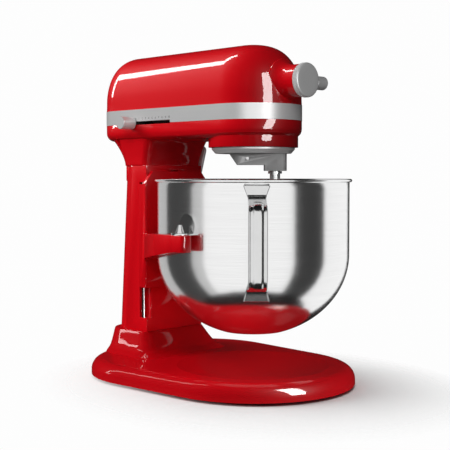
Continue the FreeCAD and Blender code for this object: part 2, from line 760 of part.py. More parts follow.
def lower_head_housing():
    """Neck, head pan and front drum in one casting; it carries the motor and the gears."""
    pan = head_prism(PAN_Z, BAND_Z)
    pan = pan.makeFillet(PAN_EDGE_R, level_edges(pan, PAN_Z))
    rim = head_prism(BAND_Z, HOUSING_SPLIT, BAND_T)
    drum = post(DRUM_R, 0, 0, DRUM_BOTTOM, DRUM_STEP_Z + 1)
    shoulder = post(DRUM_TOP_R, 0, 0, DRUM_STEP_Z, BAND_Z - 1)
    body = fused([pan, rim, drum, shoulder, neck_block()])
    body = body.cut(post(DRUM_BORE_R, 0, 0, DRUM_BOTTOM - 1, FLOOR_Z))
    well = head_prism(FLOOR_TOP, LEDGE_Z, LEDGE_WALL)
    top_well = head_prism(LEDGE_Z - 0.01, HOUSING_SPLIT + 1, HEAD_WALL)
    body = body.cut(well).cut(top_well)
    neck_bore = block(-40, 40, COL_FRONT + 6, COL_REAR_HIGH - 8, COL_TOP + NECK_PLATE_T, FLOOR_TOP + 1)
    body = body.cut(neck_bore)
    body = body.cut(post(10, 0, 172, COL_TOP - 1, COL_TOP + NECK_PLATE_T + 1))
    pads = []
    for side in (-1, 1):
        pads.append(block(*sorted((side * 14, side * 28)), STATOR_Y0 + 4, STATOR_Y0 + STATOR_L - 4,
                          FLOOR_TOP, MOTOR_Z - STATOR_HALF))
        for y in POST_YS:
            x = side * POST_X
            pads.append(post(POST_R, x, y, PAN_Z + 3, HOUSING_SPLIT))
        x = side * BOARD_HALF_X
        pads.append(post(3, x, BOARD_Y + BOARD_L / 2, FLOOR_TOP - 1, BOARD_Z))
    body = fused([body] + pads)
    for x, y in joint_screw_places():
        body = body.cut(post(JOINT_SCREW_R, x, y, COL_TOP - 1, COL_TOP + NECK_PLATE_T + 1))
    for x, y in head_screw_places():
        body = body.cut(post(HEAD_SCREW_R, x, y, PAN_Z - 1, HOUSING_SPLIT + 1))
        body = body.cut(post(HEAD_SCREW_HEAD_R, x, y, PAN_Z - 20, HEAD_SCREW_SEAT))
    body = body.cut(post(BEARING_R, 0, 0, FLOOR_Z - 1, FLOOR_TOP + 1))
    body = body.cut(post(LAY_SHAFT_R + RUN_FIT, LAY_SHAFT_X, LAY_SHAFT_Y, FLOOR_Z + 1, FLOOR_TOP + 1))
    for x, y in frame_screw_places():
        body = body.cut(post(FRAME_SCREW_R, x, y, LEDGE_Z - FRAME_SCREW_BITE, LEDGE_Z + 1))
    slot = block(-HEAD_HALF - 1, -HEAD_HALF + LEDGE_WALL + 1, SLOT_Y0, SLOT_Y1,
                 SLOT_Z - SLOT_H / 2, SLOT_Z + SLOT_H / 2)
    return body.cut(slot)


def head_screw_places():
    """Plan places of the four screws that hold the top cover."""
    return [(side * POST_X, y) for side in (-1, 1) for y in POST_YS]


def frame_screw_places():
    """Plan places of the screws that hold the gear frame on its ledge."""
    x = HEAD_HALF - (HEAD_WALL + LEDGE_WALL) / 2
    return [(side * x, y) for side in (-1, 1) for y in (8.0, 58.0)]


def head_screws():
    """Screws from under the head into the top cover's posts."""
    screws = []
    for x, y in head_screw_places():
        head = post(HEAD_SCREW_HEAD_R, x, y, HEAD_SCREW_SEAT - HEAD_SCREW_HEAD_H, HEAD_SCREW_SEAT)
        shank = post(HEAD_SCREW_R, x, y, HEAD_SCREW_SEAT, HOUSING_SPLIT + HEAD_SCREW_BITE)
        screws.append(fused([head, shank]))
    return Part.makeCompound(screws)


def crown(top, shrink):
    """Domed solid over the band: head outlines that shrink as they rise."""
    half = HEAD_HALF - shrink
    end = math.acos((1 - (HEAD_CROWN_INSET - shrink) / half) ** (HEAD_PROFILE / 2))
    rise = (top - BAND_TOP) / math.sin(end) ** (2 / HEAD_PROFILE)
    wires = []
    for i in range(HEAD_PROFILE_STEPS + 1):
        turn = end * i / HEAD_PROFILE_STEPS
        inset = half * (1 - math.cos(turn) ** (2 / HEAD_PROFILE))
        z = BAND_TOP + rise * math.sin(turn) ** (2 / HEAD_PROFILE)
        wires.append(round_top_outline(HEAD_HALF, HEAD_REAR, HEAD_CORNER_R, z, shrink + inset))
    return Part.makeLoft(wires, True, False)


def upper_head_cover():
    """Hollow top cover with the attachment hub's barrel at its front."""
    outer = crown(HEAD_TOP, 0)
    rim = head_prism(HOUSING_SPLIT, BAND_TOP, BAND_T)
    barrel = hub_rod(HUB_R, -HUB_FACE, -HUB_INNER)
    well = head_prism(HOUSING_SPLIT - 1, BAND_TOP, HEAD_WALL)
    inner = fused([well, crown(HEAD_TOP - HEAD_WALL, HEAD_WALL)])
    shell = fused([outer, rim]).cut(inner)
    posts = []
    for x, y in head_screw_places():
        posts.append(post(POST_R, x, y, HOUSING_SPLIT, HOUSING_SPLIT + POST_H))
    body = fused([shell, barrel] + posts)
    for x, y in head_screw_places():
        body = body.cut(post(HEAD_SCREW_R, x, y, HOUSING_SPLIT - 1, HOUSING_SPLIT + HEAD_SCREW_BITE))
    body = body.cut(hub_rod(HUB_BORE_R, -HUB_FACE - 1, -HUB_FACE + HUB_BORE_DEPTH))
    body = body.cut(hub_rod(HUB_MOUTH_R, -HUB_FACE - 1, -HUB_FACE + HUB_MOUTH_DEPTH))
    body = body.cut(hub_rod(HUB_BUSH_R, -HUB_FACE, -HUB_INNER + 1))
    return body.cut(cross_rod(HUB_SCREW_R, 0, HUB_R + 5, -HUB_KNOB_Y, HUB_Z))


def trim_band():
    """Strip round the head over the joint of its two castings."""
    ring = head_prism(BAND_Z, BAND_TOP, -BAND_PROUD).cut(head_prism(BAND_Z - 1, BAND_TOP + 1, BAND_T))
    x1 = -HEAD_HALF + BAND_T + 2
    slot = block(-HEAD_HALF - 5, x1, SLOT_Y0, SLOT_Y1, BAND_Z - 1, SLOT_Z + SLOT_H / 2)
    return ring.cut(slot)


def hub_bushing():
    """Plain bearing of the hub spindle."""
    front = -HUB_FACE + HUB_BORE_DEPTH + HUB_SPINDLE_RECESS
    return tube(HUB_SPINDLE_R + RUN_FIT, HUB_BUSH_R, V(0, front, HUB_Z), V(0, -HUB_INNER, HUB_Z))


def hub_spindle():
    """Spindle with a square socket at its front end and a bevel pinion behind."""
    front = -HUB_FACE + HUB_BORE_DEPTH + HUB_SPINDLE_RECESS
    bar = hub_rod(HUB_SPINDLE_R, front, -BEVEL_CROWN_R - 6)
    collar = hub_rod(HUB_SPINDLE_R + 4, -HUB_INNER + 0.5, -BEVEL_CROWN_R - 6)
    square = block(-4.4, 4.4, front - 1, front + 16, HUB_Z - 4.4, HUB_Z + 4.4)
    return fused([bar, collar]).cut(square)


def hub_bevel_pinion():
    """Bevel pinion of the hub spindle, with its hub against the spindle's collar."""
    gear = bevel_gear(BEVEL_PINION_TEETH, BEVEL_PINION_R, BEVEL_CROWN_R, TOOTH_SHARE, PINION_PHASE)
    hub = post(BEVEL_PINION_R - 3, 0, 0, -BEVEL_CROWN_R - 6, -BEVEL_CROWN_R)
    return placed(along_y(fused([gear, hub])), 0, 0, HUB_Z)


def hub_cap():
    """Cap over the hub's bore: a disc with a short plug."""
    face = -HUB_FACE - HUB_CAP_GAP
    disc = hub_rod(HUB_CAP_R, face - HUB_CAP_T, face)
    outer_edges = [e for e in disc.Edges if abs(e.BoundBox.YMin - (face - HUB_CAP_T)) < 0.01
                   and abs(e.BoundBox.YMax - (face - HUB_CAP_T)) < 0.01]
    disc = disc.makeFillet(1.6, outer_edges)
    plug = hub_rod(HUB_PLUG_R, face, face + HUB_PLUG_H)
    dimple = hub_rod(HUB_PLUG_R - 2, face + 1, face + HUB_PLUG_H + 1)
    return fused([disc, plug]).cut(dimple)


def hub_knob():
    """Knob that clamps an attachment in the hub, with its screw."""
    start = HUB_KNOB_TIP - HUB_KNOB_L
    y = -HUB_KNOB_Y
    grip = cross_rod(HUB_KNOB_R, start, HUB_KNOB_TIP, y, HUB_Z)
    ends = [e for e in grip.Edges if e.BoundBox.XLength < 0.01]
    grip = grip.makeFillet(1.5, ends)
    neck = cross_rod(HUB_SCREW_R + 2, HUB_R + 1.5, start, y, HUB_Z)
    screw = cross_rod(HUB_SCREW_R - RUN_FIT, HUB_BORE_R + 1, start, y, HUB_Z)
    return fused([grip, neck, screw])


# ---- speed control ------------------------------------------------------------------------
def speed_knob():
    """Round knob on the speed lever's end."""
    bar = cross_rod(KNOB_R, -KNOB_TIP_X, -HEAD_HALF - BAND_PROUD - KNOB_GAP, SPEED_OFF_Y, SLOT_Z)
    ends = [e for e in bar.Edges if e.BoundBox.XLength < 0.01]
    bar = bar.makeFillet(0.8, ends)
    pocket = speed_lever_blade()
    return bar.cut(pocket)


def speed_lever_blade():
    """Flat blade that passes through the slot into the knob."""
    return block(-KNOB_TIP_X + 8, -HEAD_HALF + LEDGE_WALL + 3, SPEED_OFF_Y - LEVER_W / 2 + 1.5,
                 SPEED_OFF_Y + LEVER_W / 2 - 1.5, SLOT_Z - LEVER_T / 2, SLOT_Z + LEVER_T / 2)


def speed_lever():
    """Blade with a slider plate that runs on the speed switch inside the head."""
    x1 = -HEAD_HALF + LEDGE_WALL
    plate = block(x1 + SLIDER_GAP, x1 + SLIDER_GAP + SLIDER_T, SPEED_OFF_Y - 9, SPEED_OFF_Y + 6,
                  SWITCH_TOP + SWITCH_GAP, SLOT_Z + 6)
    return fused([speed_lever_blade(), plate])


def speed_switch():
    """Slide switch under the speed lever's plate."""
    x0 = -HEAD_HALF + LEDGE_WALL + SWITCH_GAP
    front = SPEED_OFF_Y - SPEED_TRAVEL - 12
    rear = SPEED_OFF_Y + 10
    body = block(x0, x0 + SWITCH_W, front, rear, FLOOR_TOP, SWITCH_TOP)
    groove = block(x0 + 3, x0 + 5, front + 3, rear - 3, SWITCH_TOP - SWITCH_GROOVE, SWITCH_TOP + 1)
    return body.cut(groove)


def control_board():
    """Circuit board on two posts at the head's rear."""
    board = block(-BOARD_HALF_X - 4, BOARD_HALF_X + 4, BOARD_Y, BOARD_Y + BOARD_L, BOARD_Z, BOARD_Z + 1.6)
    top = BOARD_Z + 1.6
    choke = post(6, -12, BOARD_Y + 14, top, top + 9)
    capacitor = block(2, 16, BOARD_Y + 6, BOARD_Y + 14, top, top + 8)
    heat_sink = block(-2, 20, BOARD_Y + 18, BOARD_Y + 22, top, top + 8)
    return fused([board, choke, capacitor, heat_sink])


# ---- gears --------------------------------------------------------------------------------


def ring_gear():
    """Internal gear held in the drum; the planet pinion rolls round it."""
    blank = Part.makeCylinder(DRUM_BORE_R, GEAR_W)
    teeth_out = gear_points(RING_TEETH, RING_R - ADDENDUM, RING_R + DEDENDUM, RING_TOOTH_SHARE, PLANET_PHASE, -1)
    hole = prism(teeth_out, V(0, 0, GEAR_W + 2))
    return placed(blank.cut(hole), 0, 0, GEAR_Z0)


def agitator_pinion():
    """Planet pinion on the agitator shaft."""
    gear = plain_gear(PLANET_TEETH, PLANET_R, PLANET_PHASE, GEAR_W)
    gear = gear.cut(Part.makeCylinder(AGITATOR_R, GEAR_W + 2, V(0, 0, -1)))
    return placed(gear, AGITATOR_X, AGITATOR_Y, GEAR_Z0)


def centre_gear():
    """Large gear on the centre shaft."""
    gear = plain_gear(CENTRE_TEETH, CENTRE_R, LAY_ANGLE, CENTRE_GEAR_W)
    gear = gear.cut(Part.makeCylinder(CENTRE_SHAFT_R, CENTRE_GEAR_W + 2, V(0, 0, -1)))
    for i in range(WEB_HOLES):
        hole = Part.makeCylinder(WEB_HOLE_R, CENTRE_GEAR_W + 2, V(WEB_HOLE_PLACE, 0, -1))
        gear = gear.cut(turned(hole, 360 / WEB_HOLES * i))
    return placed(gear, 0, 0, CENTRE_GEAR_Z)


def lay_pinion():
    """Pinion on the lay shaft that drives the centre gear."""
    phase = LAY_ANGLE + math.pi + math.pi / PINION_TEETH
    gear = plain_gear(PINION_TEETH, PINION_R, phase, CENTRE_GEAR_W)
    gear = gear.cut(Part.makeCylinder(LAY_SHAFT_R, CENTRE_GEAR_W + 2, V(0, 0, -1)))
    return placed(gear, LAY_SHAFT_X, LAY_SHAFT_Y, CENTRE_GEAR_Z)


def lay_shaft():
    """Vertical shaft between the worm wheel and the centre gear."""
    return post(LAY_SHAFT_R, LAY_SHAFT_X, LAY_SHAFT_Y, FLOOR_Z + 1.2, MOTOR_Z + 10)


def worm_wheel():
    """Worm wheel with slanted teeth on the lay shaft, on a long hub."""
    lead_angle = math.atan2(WORM_LEAD, 2 * math.pi * WORM_R)
    twist = WHEEL_W * math.tan(lead_angle) / WHEEL_R
    gear = spur_gear(WHEEL_TEETH, WHEEL_R - DEDENDUM, WHEEL_R + WORM_ADDENDUM, TOOTH_SHARE, -twist / 2,
                     WHEEL_W, twist, 4)
    gear = placed(gear, LAY_SHAFT_X, LAY_SHAFT_Y, MOTOR_Z - WHEEL_W / 2)
    hub = post(LAY_SHAFT_R + 4, LAY_SHAFT_X, LAY_SHAFT_Y, LEDGE_Z + FRAME_T + 0.4, MOTOR_Z - WHEEL_W / 2)
    bore = post(LAY_SHAFT_R, LAY_SHAFT_X, LAY_SHAFT_Y, LEDGE_Z, HEAD_TOP)
    return fused([gear, hub]).cut(bore)


def worm():
    """Three-start worm on the motor shaft."""
    twist = 2 * math.pi * WORM_L / WORM_LEAD
    middle = LAY_SHAFT_Y
    thread = spur_gear(WORM_STARTS, WORM_R - WORM_DEDENDUM, WORM_R + WORM_ADDENDUM, WORM_TOOTH_SHARE,
                       -twist / 2, WORM_L, twist, 32)
    thread = along_y(thread)
    thread = placed(thread, 0, middle - WORM_L / 2, MOTOR_Z)
    core = rod(MOTOR_SHAFT_R + 0.9, V(0, middle - WORM_L / 2, MOTOR_Z), V(0, middle + WORM_L / 2, MOTOR_Z))
    bore = rod(MOTOR_SHAFT_R, V(0, middle - WORM_L, MOTOR_Z), V(0, middle + WORM_L, MOTOR_Z))
    return fused([thread, core]).cut(bore)


def centre_shaft():
    """Vertical shaft from the planetary casting up to the bevel gear."""
    return post(CENTRE_SHAFT_R, 0, 0, ARM_Z + 1, HUB_Z - BEVEL_PINION_R + 2)


def crown_bevel_gear():
    """Bevel gear on the centre shaft that drives the hub spindle."""
    gear = bevel_gear(BEVEL_CROWN_TEETH, BEVEL_CROWN_R, BEVEL_PINION_R, TOOTH_SHARE, CROWN_PHASE)
    gear = placed(gear, 0, 0, HUB_Z)
    base = HUB_Z - BEVEL_PINION_R
    hub = post(BEVEL_CROWN_R - 5, 0, 0, base - 5, base)
    boss = post(CENTRE_SHAFT_R + 5, 0, 0, LEDGE_Z + FRAME_T + 0.4, base - 5)
    cup = post(BEVEL_CROWN_R * BEVEL_KEEP - 4, 0, 0, base + 2, HUB_Z)
    bore = post(CENTRE_SHAFT_R, 0, 0, LEDGE_Z, HUB_Z + 1)
    return fused([gear, hub, boss]).cut(cup).cut(bore)


def gear_frame():
    """Plate across the head that holds the upper bearings, with an upright for the worm's nose."""
    top = LEDGE_Z + FRAME_T
    nose_y = BEVEL_CROWN_R + NOSE_GAP
    plate = head_prism(LEDGE_Z, top, HEAD_WALL + FRAME_GAP)
    plate = plate.cut(block(-HEAD_HALF, HEAD_HALF, FRAME_REAR, HEAD_REAR + 1, LEDGE_Z - 1, top + 1))
    upright = block(-NOSE_HALF, NOSE_HALF, nose_y, nose_y + NOSE_T, top, MOTOR_Z + NOSE_HALF)
    body = fused([plate, upright])
    body = body.cut(post(BEARING_R, 0, 0, LEDGE_Z - 1, top + 1))
    body = body.cut(post(LAY_SHAFT_R + LAY_BUSH_WALL, LAY_SHAFT_X, LAY_SHAFT_Y, LEDGE_Z - 1, top + 1))
    body = body.cut(motor_axis_rod(MOTOR_SHAFT_R + NOSE_BUSH_WALL, BEVEL_CROWN_R, BEVEL_CROWN_R + 20))
    for x, y in frame_screw_places():
        body = body.cut(post(FRAME_SCREW_R, x, y, LEDGE_Z - 1, top + 1))
    return body


def frame_screws():
    """Screws that hold the gear frame."""
    top = LEDGE_Z + FRAME_T
    screws = []
    for x, y in frame_screw_places():
        head = post(FRAME_SCREW_HEAD_R, x, y, top, top + 2)
        screws.append(fused([head, post(FRAME_SCREW_R, x, y, top - FRAME_T - FRAME_SCREW_BITE + 1, top)]))
    return Part.makeCompound(screws)


def gear_bearings():
    """Lower and upper bearings of the centre shaft, and the lay shaft's bush in the gear frame."""
    lower = ring(CENTRE_SHAFT_R + RUN_FIT, BEARING_R, 0, 0, FLOOR_Z, FLOOR_TOP)
    upper = ring(CENTRE_SHAFT_R + RUN_FIT, BEARING_R, 0, 0, LEDGE_Z, LEDGE_Z + FRAME_T)
    lay = ring(LAY_SHAFT_R + RUN_FIT, LAY_SHAFT_R + LAY_BUSH_WALL, LAY_SHAFT_X, LAY_SHAFT_Y, LEDGE_Z,
               LEDGE_Z + FRAME_T)
    return Part.makeCompound([lower, upper, lay])


# ---- planetary ----------------------------------------------------------------------------
def planetary_casting():
    """Turning casting: a disc, a boxy arm and a leg that carries the agitator shaft."""
    disc = post(CASTING_R, 0, 0, CASTING_Z, CASTING_TOP)
    reach = AGITATOR_OFFSET + LEG_FRONT
    leg_start = AGITATOR_OFFSET - LEG_REAR
    root = CASTING_Z + 0.5
    places = ((ARM_TAIL, root), (ARM_TAIL_LOW, ARM_Z), (leg_start, ARM_Z), (leg_start, LEG_Z), (reach, LEG_Z),
              (reach, root))
    outline = [V(x, -ARM_HALF, z) for x, z in places]
    arm = prism(outline, V(0, 2 * ARM_HALF, 0))
    upright = [e for e in arm.Edges if e.BoundBox.XLength < 0.01 and e.BoundBox.YLength < 0.01
               and e.BoundBox.XMin > leg_start + 1]
    arm = arm.makeFillet(LEG_EDGE_R, upright)
    arm = turned(arm, ARM_TURN)
    body = fused([disc, arm])
    body = body.cut(post(CENTRE_SHAFT_R, 0, 0, ARM_Z + 1, CASTING_TOP + 1))
    seat = AGITATOR_R + BUSH_WALL
    body = body.cut(post(AGITATOR_R + 1, AGITATOR_X, AGITATOR_Y, 0, HEAD_TOP))
    for z0, z1 in bush_heights():
        body = body.cut(post(seat, AGITATOR_X, AGITATOR_Y, z0, z1))
    return body.cut(set_screw_bar())


def bush_heights():
    """Lower and upper heights of the two agitator bushes."""
    return ((LEG_Z, LEG_Z + 7), (CASTING_TOP - 7, CASTING_TOP))


def agitator_bushes():
    """Two plain bearings of the agitator shaft."""
    bushes = []
    for z0, z1 in bush_heights():
        bushes.append(ring(AGITATOR_R + RUN_FIT, AGITATOR_R + BUSH_WALL, AGITATOR_X, AGITATOR_Y, z0, z1))
    return Part.makeCompound(bushes)


def set_screw_bar():
    """Screw in the arm's flank that locks the casting on its shaft."""
    z = (ARM_Z + CASTING_Z) / 2 + 1
    bar = rod(1.8, V(SET_SCREW_X, -ARM_HALF - 0.3, z), V(SET_SCREW_X, -ARM_HALF + 9, z))
    return turned(bar, ARM_TURN)


def set_screw():
    """The same screw with a driver socket."""
    z = (ARM_Z + CASTING_Z) / 2 + 1
    socket = rod(0.9, V(SET_SCREW_X, -ARM_HALF - 1, z), V(SET_SCREW_X, -ARM_HALF + 1.5, z))
    return set_screw_bar().cut(turned(socket, ARM_TURN))


def drip_ring():
    """Polished ring round the casting, under the drum's lip."""
    points = [V(CASTING_R, 0, CASTING_Z), V(DRIP_LOW_R, 0, CASTING_Z), V(DRIP_R, 0, DRIP_TOP - 2),
              V(DRIP_R, 0, DRIP_TOP), V(CASTING_R, 0, DRIP_TOP)]
    return Part.Face(polygon_wire(points)).revolve(V(0, 0, 0), Z_AXIS, 360)


def agitator_shaft():
    """Shaft that carries the beater, with a collar under the leg."""
    low = V(AGITATOR_X, AGITATOR_Y, AGITATOR_TIP)
    bar = rod(AGITATOR_R, low, V(AGITATOR_X, AGITATOR_Y, GEAR_Z0 + GEAR_W + 1.5))
    tip = [e for e in bar.Edges if abs(e.BoundBox.ZMax - AGITATOR_TIP) < 0.01]
    bar = bar.makeChamfer(SHAFT_CHAMFER, tip)
    neck_r = AGITATOR_R - SHAFT_NECK_DEPTH
    neck = ring(neck_r, AGITATOR_R + 1, AGITATOR_X, AGITATOR_Y, BEATER_SEAT_TOP, SHAFT_NECK_TOP)
    return bar.cut(neck).cut(cross_pin())


def shaft_collar():
    """Ring under the leg that keeps the shaft from rising."""
    top = LEG_Z - 0.3
    return ring(AGITATOR_R, COLLAR_R, AGITATOR_X, AGITATOR_Y, top - COLLAR_H, top)


def cross_pin():
    """Cross pin that a beater's bayonet slot hooks on."""
    x0 = AGITATOR_X - CROSS_PIN_HALF
    bar = cross_rod(CROSS_PIN_R, x0, x0 + 2 * CROSS_PIN_HALF, AGITATOR_Y, CROSS_PIN_Z)
    return turned(bar, ARM_TURN, V(AGITATOR_X, AGITATOR_Y, 0))


# ---- motor --------------------------------------------------------------------------------
def square_plate(y0, y1, half, corner):
    """Square plate across the motor's axis with rounded corners."""
    plate = block(-half, half, y0, y1, MOTOR_Z - half, MOTOR_Z + half)
    edges = [e for e in plate.Edges if e.BoundBox.YLength > 0.5 * (y1 - y0)]
    return plate.makeFillet(corner, edges)


def motor_bolt_places():
    """Cross-section places of the motor's through bolts."""
    o = MOTOR_BOLT_OFFSET
    return [(x, MOTOR_Z + z) for x in (-o, o) for z in (-o, o)]


def motor_axis_rod(radius, y0, y1):
    """Round bar on the motor's axis."""
    return rod(radius, V(0, y0, MOTOR_Z), V(0, y1, MOTOR_Z))


def without_bolt_holes(shape):
    """The shape with the through bolts' holes."""
    for x, z in motor_bolt_places():
        shape = shape.cut(rod(MOTOR_BOLT_R, V(x, FRONT_BRACKET_Y - 5, z), V(x, REAR_BRACKET_Y + 15, z)))
    return shape


def motor_stator():
    """Laminated field core."""
    core = square_plate(STATOR_Y0, STATOR_Y0 + STATOR_L, STATOR_HALF, 9)
    core = core.cut(motor_axis_rod(STATOR_BORE_R, STATOR_Y0 - 1, STATOR_Y0 + STATOR_L + 1))
    return without_bolt_holes(core)


def field_coils():
    """Two field windings at each end of the core."""
    coils = []
    inner = STATOR_BORE_R + 0.8
    for y0, y1 in ((STATOR_Y0 - 5, STATOR_Y0), (STATOR_Y0 + STATOR_L, STATOR_Y0 + STATOR_L + 5)):
        ring = tube(inner, inner + 8, V(0, y0, MOTOR_Z), V(0, y1, MOTOR_Z))
        for side in (-1, 1):
            keep = block(-40, 40, y0 - 1, y1 + 1, *sorted((MOTOR_Z + side * 4, MOTOR_Z + side * 60)))
            coils.append(ring.common(keep))
    return Part.makeCompound(coils)


def motor_bracket(y_plate, y_leg0, y_leg1, bearing_r):
    """End bracket: a plate with four legs that stand on the field core."""
    plate = square_plate(y_plate, y_plate + BRACKET_T, STATOR_HALF, 9)
    legs = [rod(4.5, V(x, y_leg0, z), V(x, y_leg1, z)) for x, z in motor_bolt_places()]
    body = fused([plate] + legs)
    body = body.cut(motor_axis_rod(bearing_r, y_plate - 1, y_plate + BRACKET_T + 1))
    windows = []
    for i in range(4):
        window = rod(6.5, V(22, y_plate - 1, MOTOR_Z), V(22, y_plate + BRACKET_T + 1, MOTOR_Z))
        windows.append(turned(window, 90 * i, V(0, 0, MOTOR_Z), Y_AXIS))
    for window in windows:
        body = body.cut(window)
    return without_bolt_holes(body)


def motor_brackets():
    """Front and rear end brackets of the motor."""
    bearing_r = MOTOR_SHAFT_R + MOTOR_BUSH_WALL
    front = motor_bracket(FRONT_BRACKET_Y, FRONT_BRACKET_Y + BRACKET_T, STATOR_Y0, bearing_r)
    rear = motor_bracket(REAR_BRACKET_Y, STATOR_Y0 + STATOR_L, REAR_BRACKET_Y, bearing_r)
    return Part.makeCompound([front, rear])


def motor_bolts():
    """Four bolts through the brackets and the core."""
    bolts = []
    for x, z in motor_bolt_places():
        shank = rod(MOTOR_BOLT_R, V(x, FRONT_BRACKET_Y, z), V(x, REAR_BRACKET_Y + BRACKET_T, z))
        seat = REAR_BRACKET_Y + BRACKET_T
        head = rod(MOTOR_BOLT_HEAD_R, V(x, seat, z), V(x, seat + MOTOR_BOLT_HEAD_H, z))
        bolts.append(fused([shank, head]))
    return Part.makeCompound(bolts)


def motor_bearings():
    """Nose, front and rear bearings of the motor shaft."""
    bore = MOTOR_SHAFT_R + RUN_FIT
    places = [(MOTOR_SHAFT_R + NOSE_BUSH_WALL, BEVEL_CROWN_R + NOSE_GAP, NOSE_T)]
    places += [(MOTOR_SHAFT_R + MOTOR_BUSH_WALL, y, BRACKET_T) for y in (FRONT_BRACKET_Y, REAR_BRACKET_Y)]
    rings = [motor_axis_rod(r, y, y + width).cut(motor_axis_rod(bore, y - 1, y + width + 1))
             for r, y, width in places]
    return Part.makeCompound(rings)


def motor_shaft():
    """Motor shaft from the worm's nose to the fan."""
    return motor_axis_rod(MOTOR_SHAFT_R, MOTOR_SHAFT_Y0, MOTOR_SHAFT_Y1)


def armature():
    """Slotted rotor core on the motor shaft."""
    core = motor_axis_rod(STATOR_BORE_R - ROTOR_GAP, STATOR_Y0, STATOR_Y0 + STATOR_L)
    for i in range(12):
        slot = block(-1.2, 1.2, STATOR_Y0 - 1, STATOR_Y0 + STATOR_L + 1, MOTOR_Z + STATOR_BORE_R - 9,
                     MOTOR_Z + STATOR_BORE_R + 1)
        core = core.cut(turned(slot, 30 * i, V(0, 0, MOTOR_Z), Y_AXIS))
    return core.cut(motor_shaft())


def commutator():
    """Copper commutator."""
    return motor_axis_rod(COMMUTATOR_R, COMMUTATOR_Y0, COMMUTATOR_Y0 + COMMUTATOR_L).cut(motor_shaft())


def brush_parts(inner, outer, half_y, half_z):
    """A pair of bars that point at the commutator from both sides."""
    y = COMMUTATOR_Y0 + COMMUTATOR_L / 2
    return both_sides(block(inner, outer, y - half_y, y + half_y, MOTOR_Z - half_z, MOTOR_Z + half_z))


def carbon_brushes():
    """Two brushes that bear on the commutator."""
    return Part.makeCompound(brush_parts(COMMUTATOR_R + 0.2, COMMUTATOR_R + 14, 3.5, 2.5))


def brush_holders():
    """Sleeves of the brushes, fixed to the rear bracket."""
    outer = brush_parts(COMMUTATOR_R + 3, COMMUTATOR_R + 19, 6, 5)
    cores = brush_parts(COMMUTATOR_R, COMMUTATOR_R + 14, 3.5, 2.5)
    y = COMMUTATOR_Y0 + COMMUTATOR_L / 2
    holders = []
    for body, core, side in zip(outer, cores, (1, -1)):
        x = side * (COMMUTATOR_R + 16.5)
        arm = block(x - 2.5, x + 2.5, y + 5, REAR_BRACKET_Y, MOTOR_Z - 5, MOTOR_Z + 5)
        holders.append(fused([body, arm]).cut(core))
    return Part.makeCompound(holders)


def cooling_fan():
    """Bladed fan behind the rear bracket."""
    hub = motor_axis_rod(11, FAN_Y0, FAN_Y0 + FAN_L)
    disc = motor_axis_rod(FAN_R, FAN_Y0 + FAN_L - 2, FAN_Y0 + FAN_L)
    blades = []
    for i in range(FAN_BLADES):
        blade = block(-0.8, 0.8, FAN_Y0, FAN_Y0 + FAN_L - 1, MOTOR_Z + 10, MOTOR_Z + FAN_R - 0.5)
        blades.append(turned(blade, 360 / FAN_BLADES * i, V(0, 0, MOTOR_Z), Y_AXIS))
    return fused([hub, disc] + blades).cut(motor_shaft())


# ---- bowl ---------------------------------------------------------------------------------
def bowl_solid(grow):
    """Closed solid of the bowl's outside, grown or shrunk by a distance."""
    a = BOWL_R + grow
    b = BOWL_DEPTH + grow
    points = []
    steps = 12
    foot_share = math.asin(BOWL_FOOT_R / a)
    for i in range(steps + 1):
        t = math.pi / 2 - (math.pi / 2 - foot_share) * i / steps
        points.append(V(a * math.sin(t), 0, BOWL_BEND_Z - b * math.cos(t)))
    curve = Part.BSplineCurve()
    curve.interpolate(Points=points, InitialTangent=V(0, 0, -1), FinalTangent=V(-1, 0, 0.0))
    foot = points[-1]
    top = V(a, 0, BOWL_RIM_Z)
    edges = [
        Part.LineSegment(V(0, 0, foot.z), V(0, 0, BOWL_RIM_Z)).toShape(),
        Part.LineSegment(V(0, 0, BOWL_RIM_Z), top).toShape(),
        Part.LineSegment(top, points[0]).toShape(),
        curve.toShape(),
        Part.LineSegment(foot, V(0, 0, foot.z)).toShape(),
    ]
    return Part.Face(Part.Wire(edges)).revolve(V(0, 0, 0), Z_AXIS, 360)


def bowl():
    """Spun bowl: a thin wall with a rolled rim."""
    shell = bowl_solid(0).cut(bowl_solid(-BOWL_WALL))
    rim = Part.makeTorus(BOWL_R + 1.1, BOWL_RIM_R, V(0, 0, BOWL_RIM_Z))
    return fused([shell, rim])


def strap(points, thickness):
    """Outline in the X-Z plane of a strap of even thickness along a path; points give its inner face."""
    outer = []
    count = len(points)
    for i, p in enumerate(points):
        before = points[max(i - 1, 0)]
        after = points[min(i + 1, count - 1)]
        d1 = p.sub(before) if i > 0 else after.sub(p)
        d2 = after.sub(p) if i < count - 1 else d1
        d1.normalize()
        d2 = V(d2.x, d2.y, d2.z)
        d2.normalize()
        n1 = V(-d1.z, 0, d1.x)
        n2 = V(-d2.z, 0, d2.x)
        n = n1.add(n2)
        scale = thickness * 2 / n.dot(n)
        outer.append(p.add(V(n.x * scale, 0, n.z * scale)))
    return list(points) + outer[::-1]


def handle_path():
    """Inner face of the handle, from its lower flange over the grip to its upper flange."""
    reach = HANDLE_REACH - HANDLE_T
    wall = BOWL_R + 0.01
    return [V(wall - 12, 0, HANDLE_LOW), V(wall - 3, 0, HANDLE_LOW + 14), V(reach - 6, 0, GRIP_LOW - 8),
            V(reach, 0, GRIP_LOW), V(reach, 0, GRIP_HIGH), V(reach - 3, 0, GRIP_HIGH + 5),
            V(wall, 0, HANDLE_HIGH - FLANGE_L), V(wall, 0, HANDLE_HIGH)]


